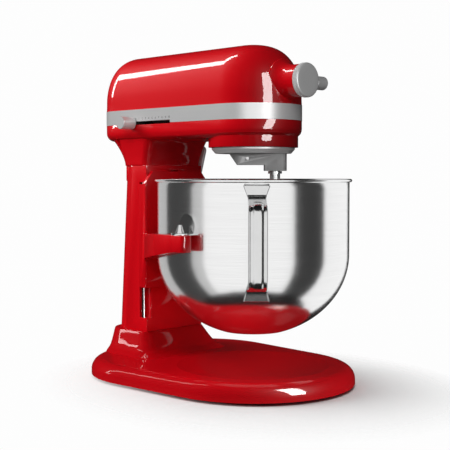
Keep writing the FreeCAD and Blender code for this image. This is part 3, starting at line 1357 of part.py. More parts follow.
def bowl_handle():
    """Strap handle with spread ends that are welded to the bowl."""
    path = handle_path()
    outline = strap(path, -HANDLE_T)
    grip = prism(outline, V(0, HANDLE_W, 0))
    grip.translate(V(0, -HANDLE_W / 2, 0))
    ends = []
    for z0, z1 in ((HANDLE_LOW - 6, HANDLE_LOW + 13), (HANDLE_HIGH - FLANGE_L, HANDLE_HIGH + 1)):
        wide = prism(outline, V(0, HANDLE_FLANGE_W, 0))
        wide.translate(V(0, -HANDLE_FLANGE_W / 2, 0))
        ends.append(wide.common(block(90, BOWL_R + 8, -40, 40, z0, z1)))
    body = fused([grip] + ends).cut(bowl_solid(0))
    body = body.cut(block(0, 90, -40, 40, 0, 300))
    return turned(body, HANDLE_TURN)


def side_brackets():
    """Bent plates on the bowl's sides; their flat flanges sit over the carrier's pins."""
    flange_z = PAD_TOP + FLANGE_LIFT
    flange_top = flange_z + FLANGE_T
    x_in = BOWL_R - TAB_BITE
    y0 = PIN_Y - TAB_HALF
    y1 = PIN_Y + TAB_HALF
    arch_z = TAB_TOP - TAB_HALF
    tab = block(x_in, BOWL_R + TAB_T, y0, y1, flange_z, arch_z)
    arch = cross_rod(TAB_HALF, x_in, BOWL_R + TAB_T, PIN_Y, arch_z)
    flange = block(x_in, PIN_X, y0, y1, flange_z, flange_top)
    nose = post(FLANGE_NOSE_R, PIN_X - 1, PIN_Y, flange_z, flange_top)
    hole = post(PIN_R + PIN_HOLE_GAP, PIN_X, PIN_Y, flange_z - 1, flange_top + 1)
    body = fused([tab, arch, flange, nose]).cut(hole).cut(bowl_solid(0))
    return both_sides(body)


def rear_bracket():
    """Plate and pin at the bowl's rear that the latch spring grips."""
    plate = block(-10, 10, BOWL_R - 3, BOWL_R + TAB_T, REAR_PIN_Z - 12, REAR_PIN_Z + 12)
    pin = rod(REAR_PIN_R, V(0, BOWL_R, REAR_PIN_Z), V(0, BLOCK_FRONT - REAR_PIN_GAP, REAR_PIN_Z))
    knob = rod(REAR_PIN_R + 1.5, V(0, BLOCK_FRONT - 4, REAR_PIN_Z), V(0, BLOCK_FRONT - REAR_PIN_GAP, REAR_PIN_Z))
    return fused([plate, pin, knob]).cut(bowl_solid(0))


def bowl_brackets():
    """Everything welded to the bowl that holds it on the carrier."""
    return Part.makeCompound(side_brackets() + [rear_bracket()])


# ---- bowl carrier and lift ----------------------------------------------------------------
def yoke_arm():
    """Curved arm round the bowl's side, ending in a flat pad; the +X one."""
    curve = Part.BSplineCurve()
    curve.interpolate([V(x, y, 0) for x, y in ARM_CURVE])
    root = V(ARM_CURVE[0][0], ARM_CURVE[0][1], 0)
    knee = V(ARM_CURVE[-1][0], ARM_CURVE[-1][1], 0)
    tip = V(ARM_OUT_R, ARM_END_Y, 0)
    tip_in = V(ARM_IN_R, ARM_END_Y, 0)
    knee_in = V(ARM_IN_R, 0, 0)
    start = math.radians(ARM_ROOT_TURN)
    root_in = V(ARM_IN_R * math.cos(start), ARM_IN_R * math.sin(start), 0)
    middle = V(ARM_IN_R * math.cos(start / 2), ARM_IN_R * math.sin(start / 2), 0)
    root_rear = V(root_in.x, ARM_CURVE[0][1], 0)
    edges = [curve.toShape()]
    edges += [Part.LineSegment(p, q).toShape() for p, q in ((knee, tip), (tip, tip_in), (tip_in, knee_in))]
    edges.append(arc_edge(knee_in, middle, root_in))
    edges += [Part.LineSegment(p, q).toShape() for p, q in ((root_in, root_rear), (root_rear, root))]
    plan = Part.Face(Part.Wire(edges)).extrude(V(0, 0, BLOCK_TOP))
    corners = [e for e in plan.Edges if e.BoundBox.ZLength > 5 and e.BoundBox.YMax < ARM_END_Y + 1]
    plan = plan.makeFillet(ARM_TIP_R, corners)
    y_root = ARM_CURVE[0][1]
    side = [V(0, ARM_END_Y - 1, PAD_BOTTOM), V(0, PIN_Y, PAD_BOTTOM), V(0, y_root + 1, ROOT_BOTTOM),
            V(0, y_root + 1, ROOT_TOP), V(0, PIN_Y + 30, PAD_TOP), V(0, ARM_END_Y - 1, PAD_TOP)]
    return plan.common(prism(side, V(200, 0, 0)))


def carrier_tongue():
    """Plate behind the block that reaches through the column's slot to the crank pin."""
    rear = LIFT_SHAFT_Y + CRANK_R
    plate = block(-TONGUE_HALF, TONGUE_HALF, BLOCK_FRONT + 2, rear, CRANK_PIN_Z - TONGUE_RISE,
                  CRANK_PIN_Z + TONGUE_RISE)
    gap = CRANK_PIN_R + TONGUE_SLOT_GAP
    slot = block(-TONGUE_HALF - 1, TONGUE_HALF + 1, CRANK_PIN_Y - gap - 1, rear + 1,
                 CRANK_PIN_Z - gap, CRANK_PIN_Z + gap)
    return plate.cut(slot)


def bowl_carrier():
    """Sliding block on the column's front with two arms that hold the bowl."""
    rear = COL_FRONT - SLIDE_GAP
    cheek_top = BLOCK_TOP - BLOCK_CHAMFER_Z
    parts = [block(-BLOCK_HALF, BLOCK_HALF, BLOCK_FRONT, rear, BLOCK_BOTTOM, BLOCK_TOP)]
    inside = COL_FACE_HALF + SLIDE_GAP
    for side in (-1, 1):
        x0, x1 = sorted((side * inside, side * BLOCK_HALF))
        parts.append(block(x0, x1, rear, CHEEK_REAR, BLOCK_BOTTOM, cheek_top))
        x0, x1 = sorted((side * inside, side * LUG_OUT))
        parts.append(block(x0, x1, CHEEK_REAR, LUG_REAR, BLOCK_BOTTOM, cheek_top))
    body = fused(parts)
    for side in (-1, 1):
        edge = side * (BLOCK_HALF + 1)
        corner = [V(edge, BLOCK_FRONT - 1, cheek_top), V(edge, BLOCK_FRONT - 1, BLOCK_TOP + 1),
                  V(side * (BLOCK_HALF - BLOCK_CHAMFER_X), BLOCK_FRONT - 1, BLOCK_TOP + 1)]
        body = body.cut(prism(corner, V(0, rear - BLOCK_FRONT + 1, 0)))
        bore = post(ROD_R + ROD_GAP, side * ROD_X, ROD_Y, BLOCK_BOTTOM - 1, BLOCK_TOP + 1)
        body = body.cut(bore)
    edges = [e for e in body.Edges if e.BoundBox.ZLength > 50 and e.BoundBox.YMax < BLOCK_FRONT + 0.01]
    body = body.makeFillet(BLOCK_EDGE_R, edges)
    body = fused([body, carrier_tongue()] + both_sides(yoke_arm()))
    for side in (-1, 1):
        body = body.cut(post(PIN_STEM_R, side * PIN_X, PIN_Y, PAD_TOP - PIN_STEM_BITE, PAD_TOP + 1))
    return body


def locating_pins():
    """Steel pins with conical tips in the arms' pads."""
    stem = post(PIN_STEM_R, PIN_X, PIN_Y, PAD_TOP - PIN_STEM_BITE, PAD_TOP)
    foot = post(PIN_R, PIN_X, PIN_Y, PAD_TOP, PAD_TOP + PIN_FOOT_H)
    tip = Part.makeCone(PIN_R, PIN_TIP_R, PIN_H - PIN_FOOT_H, V(PIN_X, PIN_Y, PAD_TOP + PIN_FOOT_H))
    return Part.makeCompound(both_sides(fused([stem, foot, tip])))


def bowl_latch_spring():
    """Forked leaf spring on the block that grips the bowl's rear pin."""
    y0 = BLOCK_FRONT - FORK_T
    foot = block(-FORK_HALF, FORK_HALF, y0, BLOCK_FRONT, REAR_PIN_Z - 34, REAR_PIN_Z - 8)
    prongs = []
    for side in (-1, 1):
        x0, x1 = sorted((side * (REAR_PIN_R + FORK_GAP), side * FORK_HALF))
        prongs.append(block(x0, x1, y0, BLOCK_FRONT, REAR_PIN_Z - 8, REAR_PIN_Z + 7))
    return fused([foot] + prongs)


def latch_screws():
    """Two screws of the latch spring."""
    screws = []
    for z in (REAR_PIN_Z - 29, REAR_PIN_Z - 16):
        screws.append(rod(3.0, V(0, BLOCK_FRONT - 3, z), V(0, BLOCK_FRONT - FORK_T, z)))
    return Part.makeCompound(screws)


def lift_shaft():
    """Cross shaft that the lift lever turns."""
    return cross_rod(LIFT_SHAFT_R, CRANK_X, LIFT_LEVER_X + LIFT_LEVER_T, LIFT_SHAFT_Y, LIFT_SHAFT_Z)


def lift_bushing():
    """Plain bearing of the lift shaft in the column's side."""
    inside = CRANK_X + CRANK_T + LIFT_BOSS_INSIDE
    return tube(LIFT_SHAFT_R + RUN_FIT, LIFT_SHAFT_R + LIFT_BUSH_WALL, V(inside, LIFT_SHAFT_Y, LIFT_SHAFT_Z),
                V(COL_HALF + LIFT_BOSS_PROUD, LIFT_SHAFT_Y, LIFT_SHAFT_Z))


def lift_crank():
    """Crank arm with a pin that works in the carrier's slot."""
    y = LIFT_SHAFT_Y
    z = LIFT_SHAFT_Z
    x1 = CRANK_X + CRANK_T
    hub = cross_rod(LIFT_SHAFT_R + CRANK_HUB_WALL, CRANK_X, x1, y, z)
    eye = cross_rod(CRANK_PIN_R + CRANK_EYE_WALL, CRANK_X, x1, y + CRANK_R, z)
    web = block(CRANK_X, x1, y, y + CRANK_R, z - CRANK_WEB_HALF, z + CRANK_WEB_HALF)
    pin = cross_rod(CRANK_PIN_R, -TONGUE_HALF + 1, CRANK_X, y + CRANK_R, z)
    body = turned(fused([hub, eye, web, pin]), 45, V(0, y, z), X_AXIS)
    return body.cut(lift_shaft())


def lift_lever():
    """Hand lever on the column's side."""
    y = LIFT_SHAFT_Y
    half = LIFT_LEVER_W / 2
    x0 = LIFT_LEVER_X
    x1 = LIFT_LEVER_X + LIFT_LEVER_T
    tip_z = LIFT_SHAFT_Z + LIFT_LEVER_L - half
    hub = cross_rod(half + LEVER_HUB_WALL, x0, x1, y, LIFT_SHAFT_Z)
    tip = cross_rod(half, x0, x1, y, tip_z)
    bar = block(x0, x1, y - half, y + half, LIFT_SHAFT_Z, tip_z)
    body = turned(fused([hub, bar, tip]), LIFT_LEVER_TILT, V(0, y, LIFT_SHAFT_Z), X_AXIS)
    return body.cut(lift_shaft())


# ---- every node ---------------------------------------------------------------------------
NODES = {
    "base_casting": base_casting,
    "rubber_feet": rubber_feet,
    "column_casting": column_casting,
    "column_screws": column_screws,
    "cord_gland": cord_gland,
    "guide_rods": guide_rods,
    "lower_head_housing": lower_head_housing,
    "upper_head_cover": upper_head_cover,
    "head_screws": head_screws,
    "trim_band": trim_band,
    "hub_bushing": hub_bushing,
    "hub_spindle": hub_spindle,
    "hub_bevel_pinion": hub_bevel_pinion,
    "hub_cap": hub_cap,
    "hub_knob": hub_knob,
    "speed_knob": speed_knob,
    "speed_lever": speed_lever,
    "speed_switch": speed_switch,
    "control_board": control_board,
    "ring_gear": ring_gear,
    "agitator_pinion": agitator_pinion,
    "centre_gear": centre_gear,
    "lay_pinion": lay_pinion,
    "lay_shaft": lay_shaft,
    "worm_wheel": worm_wheel,
    "worm": worm,
    "centre_shaft": centre_shaft,
    "crown_bevel_gear": crown_bevel_gear,
    "gear_frame": gear_frame,
    "frame_screws": frame_screws,
    "gear_bearings": gear_bearings,
    "planetary_casting": planetary_casting,
    "agitator_bushes": agitator_bushes,
    "set_screw": set_screw,
    "drip_ring": drip_ring,
    "agitator_shaft": agitator_shaft,
    "shaft_collar": shaft_collar,
    "cross_pin": cross_pin,
    "motor_stator": motor_stator,
    "field_coils": field_coils,
    "motor_brackets": motor_brackets,
    "motor_bolts": motor_bolts,
    "motor_bearings": motor_bearings,
    "motor_shaft": motor_shaft,
    "armature": armature,
    "commutator": commutator,
    "carbon_brushes": carbon_brushes,
    "brush_holders": brush_holders,
    "cooling_fan": cooling_fan,
    "bowl": bowl,
    "bowl_handle": bowl_handle,
    "bowl_brackets": bowl_brackets,
    "bowl_carrier": bowl_carrier,
    "locating_pins": locating_pins,
    "bowl_latch_spring": bowl_latch_spring,
    "latch_screws": latch_screws,
    "lift_shaft": lift_shaft,
    "lift_bushing": lift_bushing,
    "lift_crank": lift_crank,
    "lift_lever": lift_lever,
}

os.makedirs("parts", exist_ok=True)
for name, make in NODES.items():
    make().exportStep("parts/" + name + ".step")
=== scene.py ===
"""Looks of the bowl-lift stand mixer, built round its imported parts.  Metres, +Z up."""
import json
import math

import bmesh
import bpy
import numpy as np
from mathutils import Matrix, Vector


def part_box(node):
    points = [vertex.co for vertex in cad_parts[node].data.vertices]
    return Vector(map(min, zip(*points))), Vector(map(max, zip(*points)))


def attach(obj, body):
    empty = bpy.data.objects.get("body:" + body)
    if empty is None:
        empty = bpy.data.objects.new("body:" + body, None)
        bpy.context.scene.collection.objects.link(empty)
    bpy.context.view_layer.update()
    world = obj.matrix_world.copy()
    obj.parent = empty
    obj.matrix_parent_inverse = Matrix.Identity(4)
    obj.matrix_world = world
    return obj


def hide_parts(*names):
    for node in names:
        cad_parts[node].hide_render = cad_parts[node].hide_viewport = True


MM = 0.001
TURN = 2 * math.pi

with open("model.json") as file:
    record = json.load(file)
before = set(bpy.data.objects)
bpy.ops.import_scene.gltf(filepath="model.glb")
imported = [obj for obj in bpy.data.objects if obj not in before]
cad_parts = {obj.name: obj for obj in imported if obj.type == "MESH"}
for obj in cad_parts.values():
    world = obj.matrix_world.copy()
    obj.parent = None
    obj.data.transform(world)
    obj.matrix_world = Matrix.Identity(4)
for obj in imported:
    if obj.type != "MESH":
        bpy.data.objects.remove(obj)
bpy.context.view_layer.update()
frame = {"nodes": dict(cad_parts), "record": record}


# ---- camera -------------------------------------------------------------------------------
CAMERA_PLACE = (-0.8915, -0.8330, 0.2602)
CAMERA_HEADING = (0.7108, 0.7034)
CAMERA_DIP = 2.898
CAMERA_LENS = 78.54


def make_camera():
    """Camera a little above the bowl's rim, looking at the mixer's front-left corner."""
    data = bpy.data.cameras.new("camera")
    data.sensor_width = 36.0
    data.lens = CAMERA_LENS
    data.clip_start = 0.05
    data.clip_end = 60.0
    camera = bpy.data.objects.new("camera", data)
    camera.location = CAMERA_PLACE
    heading = Vector((*CAMERA_HEADING, 0.0)).normalized()
    dip = math.radians(CAMERA_DIP)
    aim = heading * math.cos(dip) - Vector((0, 0, math.sin(dip)))
    camera.rotation_mode = "QUATERNION"
    camera.rotation_quaternion = aim.to_track_quat("-Z", "Y")
    bpy.context.scene.collection.objects.link(camera)
    bpy.context.scene.camera = camera
    bpy.context.scene.view_settings.view_transform = "Standard"


make_camera()


# ---- finishes -----------------------------------------------------------------------------
class Amount:
    """A number that changes over a surface; arithmetic on it becomes Math nodes."""

    def __init__(self, finish, socket):
        self.finish = finish
        self.socket = socket

    def maths(self, operation, *terms):
        node = self.finish.tree.nodes.new("ShaderNodeMath")
        node.operation = operation
        for slot, term in zip(node.inputs, terms):
            self.finish.put(slot, term)
        return Amount(self.finish, node.outputs[0])

    def __add__(self, other):
        return self.maths("ADD", self, other)

    __radd__ = __add__

    def __mul__(self, other):
        return self.maths("MULTIPLY", self, other)

    __rmul__ = __mul__


class Finish:
    """A named surface finish: one Principled shader and the nodes that vary it."""

    def __init__(self, name, **settings):
        self.material = bpy.data.materials.new(name)
        self.material.use_nodes = True
        self.tree = self.material.node_tree
        self.shader = self.tree.nodes["Principled BSDF"]
        self.place = self.add("ShaderNodeTexCoord").outputs["Object"]
        self.set(**settings)

    def put(self, slot, value):
        """A value or a link into a socket."""
        if isinstance(value, Amount):
            self.tree.links.new(value.socket, slot)
        elif isinstance(value, bpy.types.NodeSocket):
            self.tree.links.new(value, slot)
        else:
            slot.default_value = value

    def set(self, **settings):
        """Values of the shader's own sockets."""
        for name, value in settings.items():
            self.put(self.shader.inputs[name.replace("_", " ")], value)

    def add(self, kind, settings=(), **inputs):
        """Adds a node of any kind; settings are its own properties and inputs its sockets."""
        node = self.tree.nodes.new(kind)
        for name, value in dict(settings).items():
            setattr(node, name, value)
        for name, value in inputs.items():
            self.put(node.inputs[name], value)
        return node

    def stretched(self, x, y, z):
        """The place on the surface, scaled along each axis."""
        return self.add("ShaderNodeMapping", Vector=self.place, Scale=(x, y, z)).outputs[0]

    def noise(self, place, scale, detail=3.0, roughness=0.5):
        """Smooth noise from 0 to 1."""
        node = self.add("ShaderNodeTexNoise", Vector=place, Scale=scale, Detail=detail, Roughness=roughness)
        return Amount(self, node.outputs[0])

    def mixed(self, share, first, second):
        """Colour between two colours by a share."""
        node = self.add("ShaderNodeMix", {"data_type": "RGBA"})
        for index, value in ((0, share), (6, first), (7, second)):
            self.put(node.inputs[index], value)
        return node.outputs[2]

    def relief(self, height, depth, strength=1.0):
        """Fine relief on the surface, its depth in metres."""
        node = self.add("ShaderNodeBump", Height=height, Distance=depth, Strength=strength)
        self.set(Normal=node.outputs[0])


def grey(level):
    """Neutral colour of one brightness."""
    return (level, level, level, 1.0)


def red_enamel():
    """Glossy red enamel: a deep red under a clear coat, with the faint ripple of paint."""
    f = Finish("red_enamel", Roughness=0.40, Specular_IOR_Level=0.05, Coat_Roughness=0.03, Coat_IOR=1.5)
    tone = f.noise(f.place, 7.0, 2.0)
    f.set(Base_Color=f.mixed(tone, (0.76, 0.0016, 0.0075, 1), (0.80, 0.0024, 0.0095, 1)),
          Coat_Weight=0.60 + f.noise(f.place, 30.0) * 0.10)
    f.relief(f.noise(f.place, 260.0, 1.0), 0.00003, 0.25)
    return f.material


def brushed_steel():
    """Bowl steel: fine lines run level round it."""
    f = Finish("brushed_bowl_steel", Metallic=1.0)
    lines = f.noise(f.stretched(14.0, 14.0, 2400.0), 1.0, 4.0, 0.62)
    bands = f.noise(f.stretched(3.0, 3.0, 240.0), 1.0, 2.0)
    f.set(Base_Color=f.mixed(lines, grey(0.70), grey(0.92)), Roughness=0.13 + lines * 0.06 + bands * 0.04)
    f.relief(lines, 0.00002, 0.30)
    return f.material


def polished_steel():
    """Bright polished steel with the faintest haze."""
    f = Finish("polished_steel", Metallic=1.0)
    haze = f.noise(f.place, 60.0)
    f.set(Base_Color=f.mixed(haze, grey(0.62), grey(0.70)), Roughness=0.15 + haze * 0.06)
    return f.material


def satin_metal(name, low, high, roughness, metallic=0.3, grain=900.0):
    """Satin metal paint or machined metal: a neutral tone with fine grain."""
    f = Finish(name, Metallic=metallic)
    speck = f.noise(f.place, grain, 2.0)
    f.set(Base_Color=f.mixed(speck, grey(low), grey(high)), Roughness=roughness + speck * 0.06)
    f.relief(speck, 0.00002, 0.12)
    return f.material


def plain(name, colour, second, roughness, metallic=0.0, scale=300.0):
    """Moulded or cast material: two near tones in a fine mottle."""
    f = Finish(name, Metallic=metallic)
    speck = f.noise(f.place, scale, 2.0)
    f.set(Base_Color=f.mixed(speck, colour, second), Roughness=roughness + speck * 0.08)
    f.relief(speck, 0.00003, 0.15)
    return f.material


FINISHES = {
    "red_enamel": red_enamel(),
    "satin_silver": satin_metal("satin_silver_paint", 0.70, 0.76, 0.34),
    "grey_casting": satin_metal("grey_cast_paint", 0.34, 0.40, 0.36),
    "bowl_steel": brushed_steel(),
    "polished_steel": polished_steel(),
    "steel": satin_metal("machined_steel", 0.62, 0.70, 0.24, 0.7),
    "bronze": plain("sintered_bronze", (0.50, 0.33, 0.16, 1), (0.58, 0.40, 0.20, 1), 0.4, 0.9),
    "copper": plain("enamelled_copper", (0.60, 0.26, 0.12, 1), (0.70, 0.34, 0.17, 1), 0.35, 0.9),
    "laminations": plain("core_steel", grey(0.22), grey(0.30), 0.5, 0.8),
    "black_plastic": plain("black_plastic", grey(0.012), grey(0.02), 0.4),
    "nylon": plain("natural_nylon", (0.74, 0.71, 0.62, 1), (0.80, 0.77, 0.68, 1), 0.45),
    "rubber": plain("black_rubber", grey(0.018), grey(0.03), 0.7),
    "carbon": plain("pressed_carbon", grey(0.02), grey(0.04), 0.6),
    "board": plain("circuit_board", (0.02, 0.14, 0.06, 1), (0.03, 0.18, 0.08, 1), 0.4),
}
SLOTS = {row["node"]: row["material_slot"] for row in frame["record"]["subparts"]}
LIGHT_GROUPS = ("paint", "base", "bright", "satin", "floor")
LIT_AS = {name: bpy.data.collections.new("lit_as_" + name) for name in LIGHT_GROUPS}
GROUP_OF_SLOT = {"red_enamel": "paint", "bowl_steel": "bright", "polished_steel": "bright"}
GROUP_OF_NODE = {"base_casting": "base", "guide_rods": "satin"}


def dress(obj, slot, group=None):
    """Gives a mesh its slot's finish and its group of lights."""
    obj.data.materials.clear()
    obj.data.materials.append(FINISHES[slot])
    LIT_AS[group or GROUP_OF_SLOT.get(slot, "satin")].objects.link(obj)


for node_name, node in frame["nodes"].items():
    dress(node, SLOTS[node_name], GROUP_OF_NODE.get(node_name))


# ---- surfaces -----------------------------------------------------------------------------
def surface(name, grid, poles=(False, False)):
    """Mesh over a grid of points in mm, rows by columns, its last column joined to the first.  A pole
    closes the first or last row with a fan to one point at its middle."""
    rows, columns, _ = grid.shape
    points = grid.reshape(-1, 3)
    index = np.arange(rows * columns).reshape(rows, columns)
    beside = np.roll(index, -1, axis=1)
    faces = np.stack([index[:-1], beside[:-1], beside[1:], index[1:]], axis=-1).reshape(-1, 4).tolist()
    for end, row in zip(poles, (0, rows - 1)):
        if end:
            middle = len(points)
            points = np.vstack([points, grid[row].mean(axis=0)])
            a, b = (beside[row], index[row]) if row == 0 else (index[row], beside[row])
            faces += np.stack([a, b, np.full(len(a), middle)], axis=-1).tolist()
    mesh = bpy.data.meshes.new(name)
    mesh.from_pydata((points * MM).tolist(), [], faces)
    worked = bmesh.new()
    worked.from_mesh(mesh)
    bmesh.ops.recalc_face_normals(worked, faces=worked.faces)
    worked.to_mesh(mesh)
    worked.free()
    mesh.shade_smooth()
    return in_scene(name, mesh)


def in_scene(name, data):
    """New object at the origin for a mesh."""
    obj = bpy.data.objects.new(name, data)
    bpy.context.scene.collection.objects.link(obj)
    return obj


def placed_for(obj, node, slot=None):
    """A finished piece that stands for a part: its finish, its body and the part it hides."""
    slot = slot or SLOTS[node]
    dress(obj, slot)
    for body, nodes in frame["record"]["behaviour"]["bodies"].items():
        if node in nodes:
            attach(obj, body)
    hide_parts(node)
    return obj


def extent(node):
    """Lowest and highest corner of a part, in mm."""
    low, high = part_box(node)
    return np.array(low) / MM, np.array(high) / MM


def arc(centre, radii, start, end, steps):
    """Points on an elliptic arc in a plane; angles in degrees."""
    t = np.radians(np.linspace(start, end, steps))
    return np.stack([centre[0] + radii[0] * np.cos(t), centre[1] + radii[1] * np.sin(t)], axis=-1)


def lathe(profile, steps, turn=0.0):
    """Grid of a profile of (radius, height) rows turned about the Z axis."""
    angle = TURN * np.arange(steps) / steps + turn
    radius = profile[:, 0:1]
    return np.stack([radius * np.cos(angle), radius * np.sin(angle), profile[:, 1:2] + 0 * angle], axis=-1)


BOWL_WALL_R = 118.8
BOWL_SHEET = 1.2


def bowl_piece():
    """Spun bowl: a lathe of one closed profile.  Outside it is a flat foot, a quarter ellipse up to
    the bend and a straight wall; a ring rolls over the rim; inside the same again, one sheet less."""
    low, high = extent("bowl")
    bend, depth, rim = 163.0, 101.0, 2.0
    foot_angle, foot_r = -70.4, 39.0
    outside = arc((0, bend), (BOWL_WALL_R, depth), foot_angle, 0, 40)
    inside = arc((0, bend), (BOWL_WALL_R - BOWL_SHEET, depth - BOWL_SHEET), 0, foot_angle, 40)
    rim_z = high[2] - rim
    roll = arc((high[0] - rim, rim_z), (rim, rim), -118, 118, 22)
    heights = np.linspace(bend + 6, rim_z - rim, 12)
    up = np.stack([np.full(12, BOWL_WALL_R), heights], axis=-1)
    down = np.stack([np.full(12, BOWL_WALL_R - BOWL_SHEET), heights[::-1]], axis=-1)
    foot_z = outside[0, 1]
    foot = np.array([[2.0, foot_z], [foot_r - 3, foot_z], [foot_r, foot_z + 0.1]])
    floor = foot[::-1] + [0, BOWL_SHEET]
    profile = np.vstack([foot, outside, up, roll, down, inside, floor])
    return placed_for(surface("spun_bowl", lathe(profile, 224), poles=(True, True)), "bowl")


def cap_piece():
    """Hub cap: a disc turned about Y with a soft front edge and a knurled rim.  The rim's radius
    swells by a fraction of a millimetre at each of its 80 ribs."""
    low, high = extent("hub_cap")
    middle = (low + high) / 2
    radius = (high[0] - low[0]) / 2
    angle = TURN * np.arange(960) / 960
    # rows of (depth behind the front face, inset from the rim, share of the ribs)
    rows = np.array([(0, 20, 0), (0, 8, 0), (0, 2.6, 0), (0.15, 1.7, 0), (0.6, 0.8, 0), (1.4, 0.25, 0),
                     (1.9, 0.25, 0), (2.0, 0.25, 1), (4.0, 0.25, 1), (6.6, 0.25, 1), (6.7, 0.25, 0),
                     (7.3, 0.5, 0), (8.2, 0.7, 0), (8.7, 1.4, 0), (8.7, 8, 0), (8.7, 20, 0)])
    depth, inset, ribbed = rows[:, 0:1], rows[:, 1:2], rows[:, 2:3]
    ribs = np.abs(np.sin(angle * 40)) ** 0.8 * 0.55 - 0.35
    r = radius - inset + ribbed * ribs
    grid = np.stack([middle[0] + r * np.cos(angle), low[1] + depth + 0 * angle,
                     middle[2] + r * np.sin(angle)], axis=-1)
    return placed_for(surface("knurled_hub_cap", grid, poles=(True, True)), "hub_cap")


def smoothed(path, width):
    """Path with its corners rounded by a bell-shaped average over an odd number of points."""
    bell = np.hanning(width) / np.hanning(width).sum()
    half = width // 2
    padded = np.vstack([np.repeat(path[:1], half, axis=0), path, np.repeat(path[-1:], half, axis=0)])
    return np.stack([np.convolve(padded[:, k], bell, "valid") for k in (0, 1)], axis=-1)


def handle_piece():
    """Pressed strap handle.  A strip section runs along a path of (radius, height) with soft bends; the
    strip widens at both welded ends, and a raised rib and two rolled edges are pressed along the grip."""
    reach, thick, bearing = 160.0, 3.0, math.radians(225.0)
    corners = np.array([[106.6, 116.0], [113.6, 131.0], [117.5, 133.6], [reach - 7, 137.0],
                        [reach, 146.0], [reach, 218.0], [reach - 4, 224.0], [BOWL_WALL_R + 4, 234.0],
                        [BOWL_WALL_R + 0.5, 237.0], [BOWL_WALL_R + 0.5, 250.0]])
    along = np.concatenate([[0], np.cumsum(np.hypot(*np.diff(corners, axis=0).T))])
    s = np.linspace(0, along[-1], 150)
    path = smoothed(np.stack([np.interp(s, along, corners[:, k]) for k in (0, 1)], axis=-1), 13)
    way = np.gradient(path, axis=0)
    way /= np.linalg.norm(way, axis=1, keepdims=True)
    out = np.stack([way[:, 1], -way[:, 0]], axis=-1)
    t = s / s[-1]
    half_width = 10.5 + 4.5 * (np.exp(-(t / 0.075) ** 2) + np.exp(-((1 - t) / 0.05) ** 2))
    grip = 1 / (1 + np.exp(-(t - 0.24) * 60)) / (1 + np.exp((t - 0.80) * 60))
    # v runs across the outer face and back across the inner one
    v = np.concatenate([np.linspace(-1, 1, 41), np.linspace(1, -1, 13)[1:-1]])
    outer = np.arange(len(v)) < 41
    rib = np.exp(-(v / 0.52) ** 4) * 2.2
    edge = np.exp(-((np.abs(v) - 0.90) / 0.09) ** 2) * 0.8
    rounding = np.maximum(np.abs(v) - 0.94, 0.0) * 12
    flat = np.where(outer, thick - 1.0 - rounding, 0.3 + rounding * 0.3)
    level = flat + grip[:, None] * np.where(outer, rib + edge, 0.0)
    r = path[:, 0:1] + out[:, 0:1] * level
    z = path[:, 1:2] + out[:, 1:2] * level
    side = half_width[:, None] * v
    grid = np.stack([r * math.cos(bearing) - side * math.sin(bearing),
                     r * math.sin(bearing) + side * math.cos(bearing), z], axis=-1)
    return placed_for(surface("pressed_handle", grid, poles=(True, True)), "bowl_handle")


def hub_root_piece():
    """Root of the hub's barrel: a ring about the hub's axis whose radius grows with the cube of the
    way into the head, so that the barrel flares into the nose."""
    low, high = extent("hub_cap")
    middle = (low + high) / 2
    barrel_r, flare, bore_r = 19.45, 8.5, 15.0
    front, length = -70.0, 20.0
    angle = TURN * np.arange(180) / 180
    way = np.linspace(0, 1, 24)
    radius = np.concatenate([[bore_r], barrel_r + flare * way ** 3, [bore_r]])[:, None]
    depth = np.concatenate([[front + 0.1], front + length * way, [front + length]])[:, None]
    grid = np.stack([middle[0] + radius * np.cos(angle), depth + 0 * angle,
                     middle[2] + radius * np.sin(angle)], axis=-1)
    obj = surface("hub_barrel_root", np.vstack([grid, grid[:1]]))
    dress(obj, "red_enamel")
    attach(obj, "stand")


SAME_POINT = 0.005
FLAT_ANGLE = math.radians(0.6)
SHARP_ANGLE = math.radians(38)


def softened(node, width):
    """Copy of a part with its loose triangles merged, its flat faces joined and its sharp edges
    bevelled to a width in mm."""
    source = frame["nodes"][node]
    mesh = source.data.copy()
    mesh.transform(source.matrix_world)
    worked = bmesh.new()
    worked.from_mesh(mesh)
    bmesh.ops.remove_doubles(worked, verts=worked.verts, dist=SAME_POINT * MM)
    bmesh.ops.dissolve_limit(worked, angle_limit=FLAT_ANGLE, verts=worked.verts, edges=worked.edges)
    worked.to_mesh(mesh)
    worked.free()
    mesh.shade_smooth()
    obj = in_scene(node + "_softened", mesh)
    bevel = obj.modifiers.new("edges", "BEVEL")
    bevel.width = width * MM
    bevel.segments = 2
    bevel.limit_method = "ANGLE"
    bevel.angle_limit = SHARP_ANGLE
    bevel.harden_normals = True
    return placed_for(obj, node)


def number_marks():
    """Plain numbers 0 to 10 above the speed slot, flat on the band."""
    band_low, band_high = extent("trim_band")
    x = band_low[0] - 0.04
    first_y, pitch, foot_z, size = 153.0, 6.4, 332.5, 3.6
    for i in range(11):
        curve = bpy.data.curves.new(f"mark_{i}", "FONT")
        curve.body = str(i)
        curve.size = size * MM
        curve.align_x = "CENTER"
        maker = bpy.data.objects.new(f"mark_{i}_text", curve)
        mesh = bpy.data.meshes.new_from_object(maker)
        bpy.data.objects.remove(maker)
        flat = np.empty(len(mesh.vertices) * 3)
        mesh.vertices.foreach_get("co", flat)
        flat = flat.reshape(-1, 3) / MM
        y = first_y - pitch * i - flat[:, 0]
        spots = np.stack([np.full(len(flat), x), y, foot_z + flat[:, 1]], axis=-1) * MM
        mesh.vertices.foreach_set("co", spots.ravel())
        mark = in_scene(f"speed_number_{i}", mesh)
        dress(mark, "black_plastic")
        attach(mark, "stand")


EDGE_WIDTHS = {"bowl_carrier": 1.6, "column_casting": 1.2, "lower_head_housing": 0.8,
               "planetary_casting": 1.2, "hub_knob": 0.6, "speed_knob": 0.5, "bowl_brackets": 0.4,
               "lift_lever": 0.6}

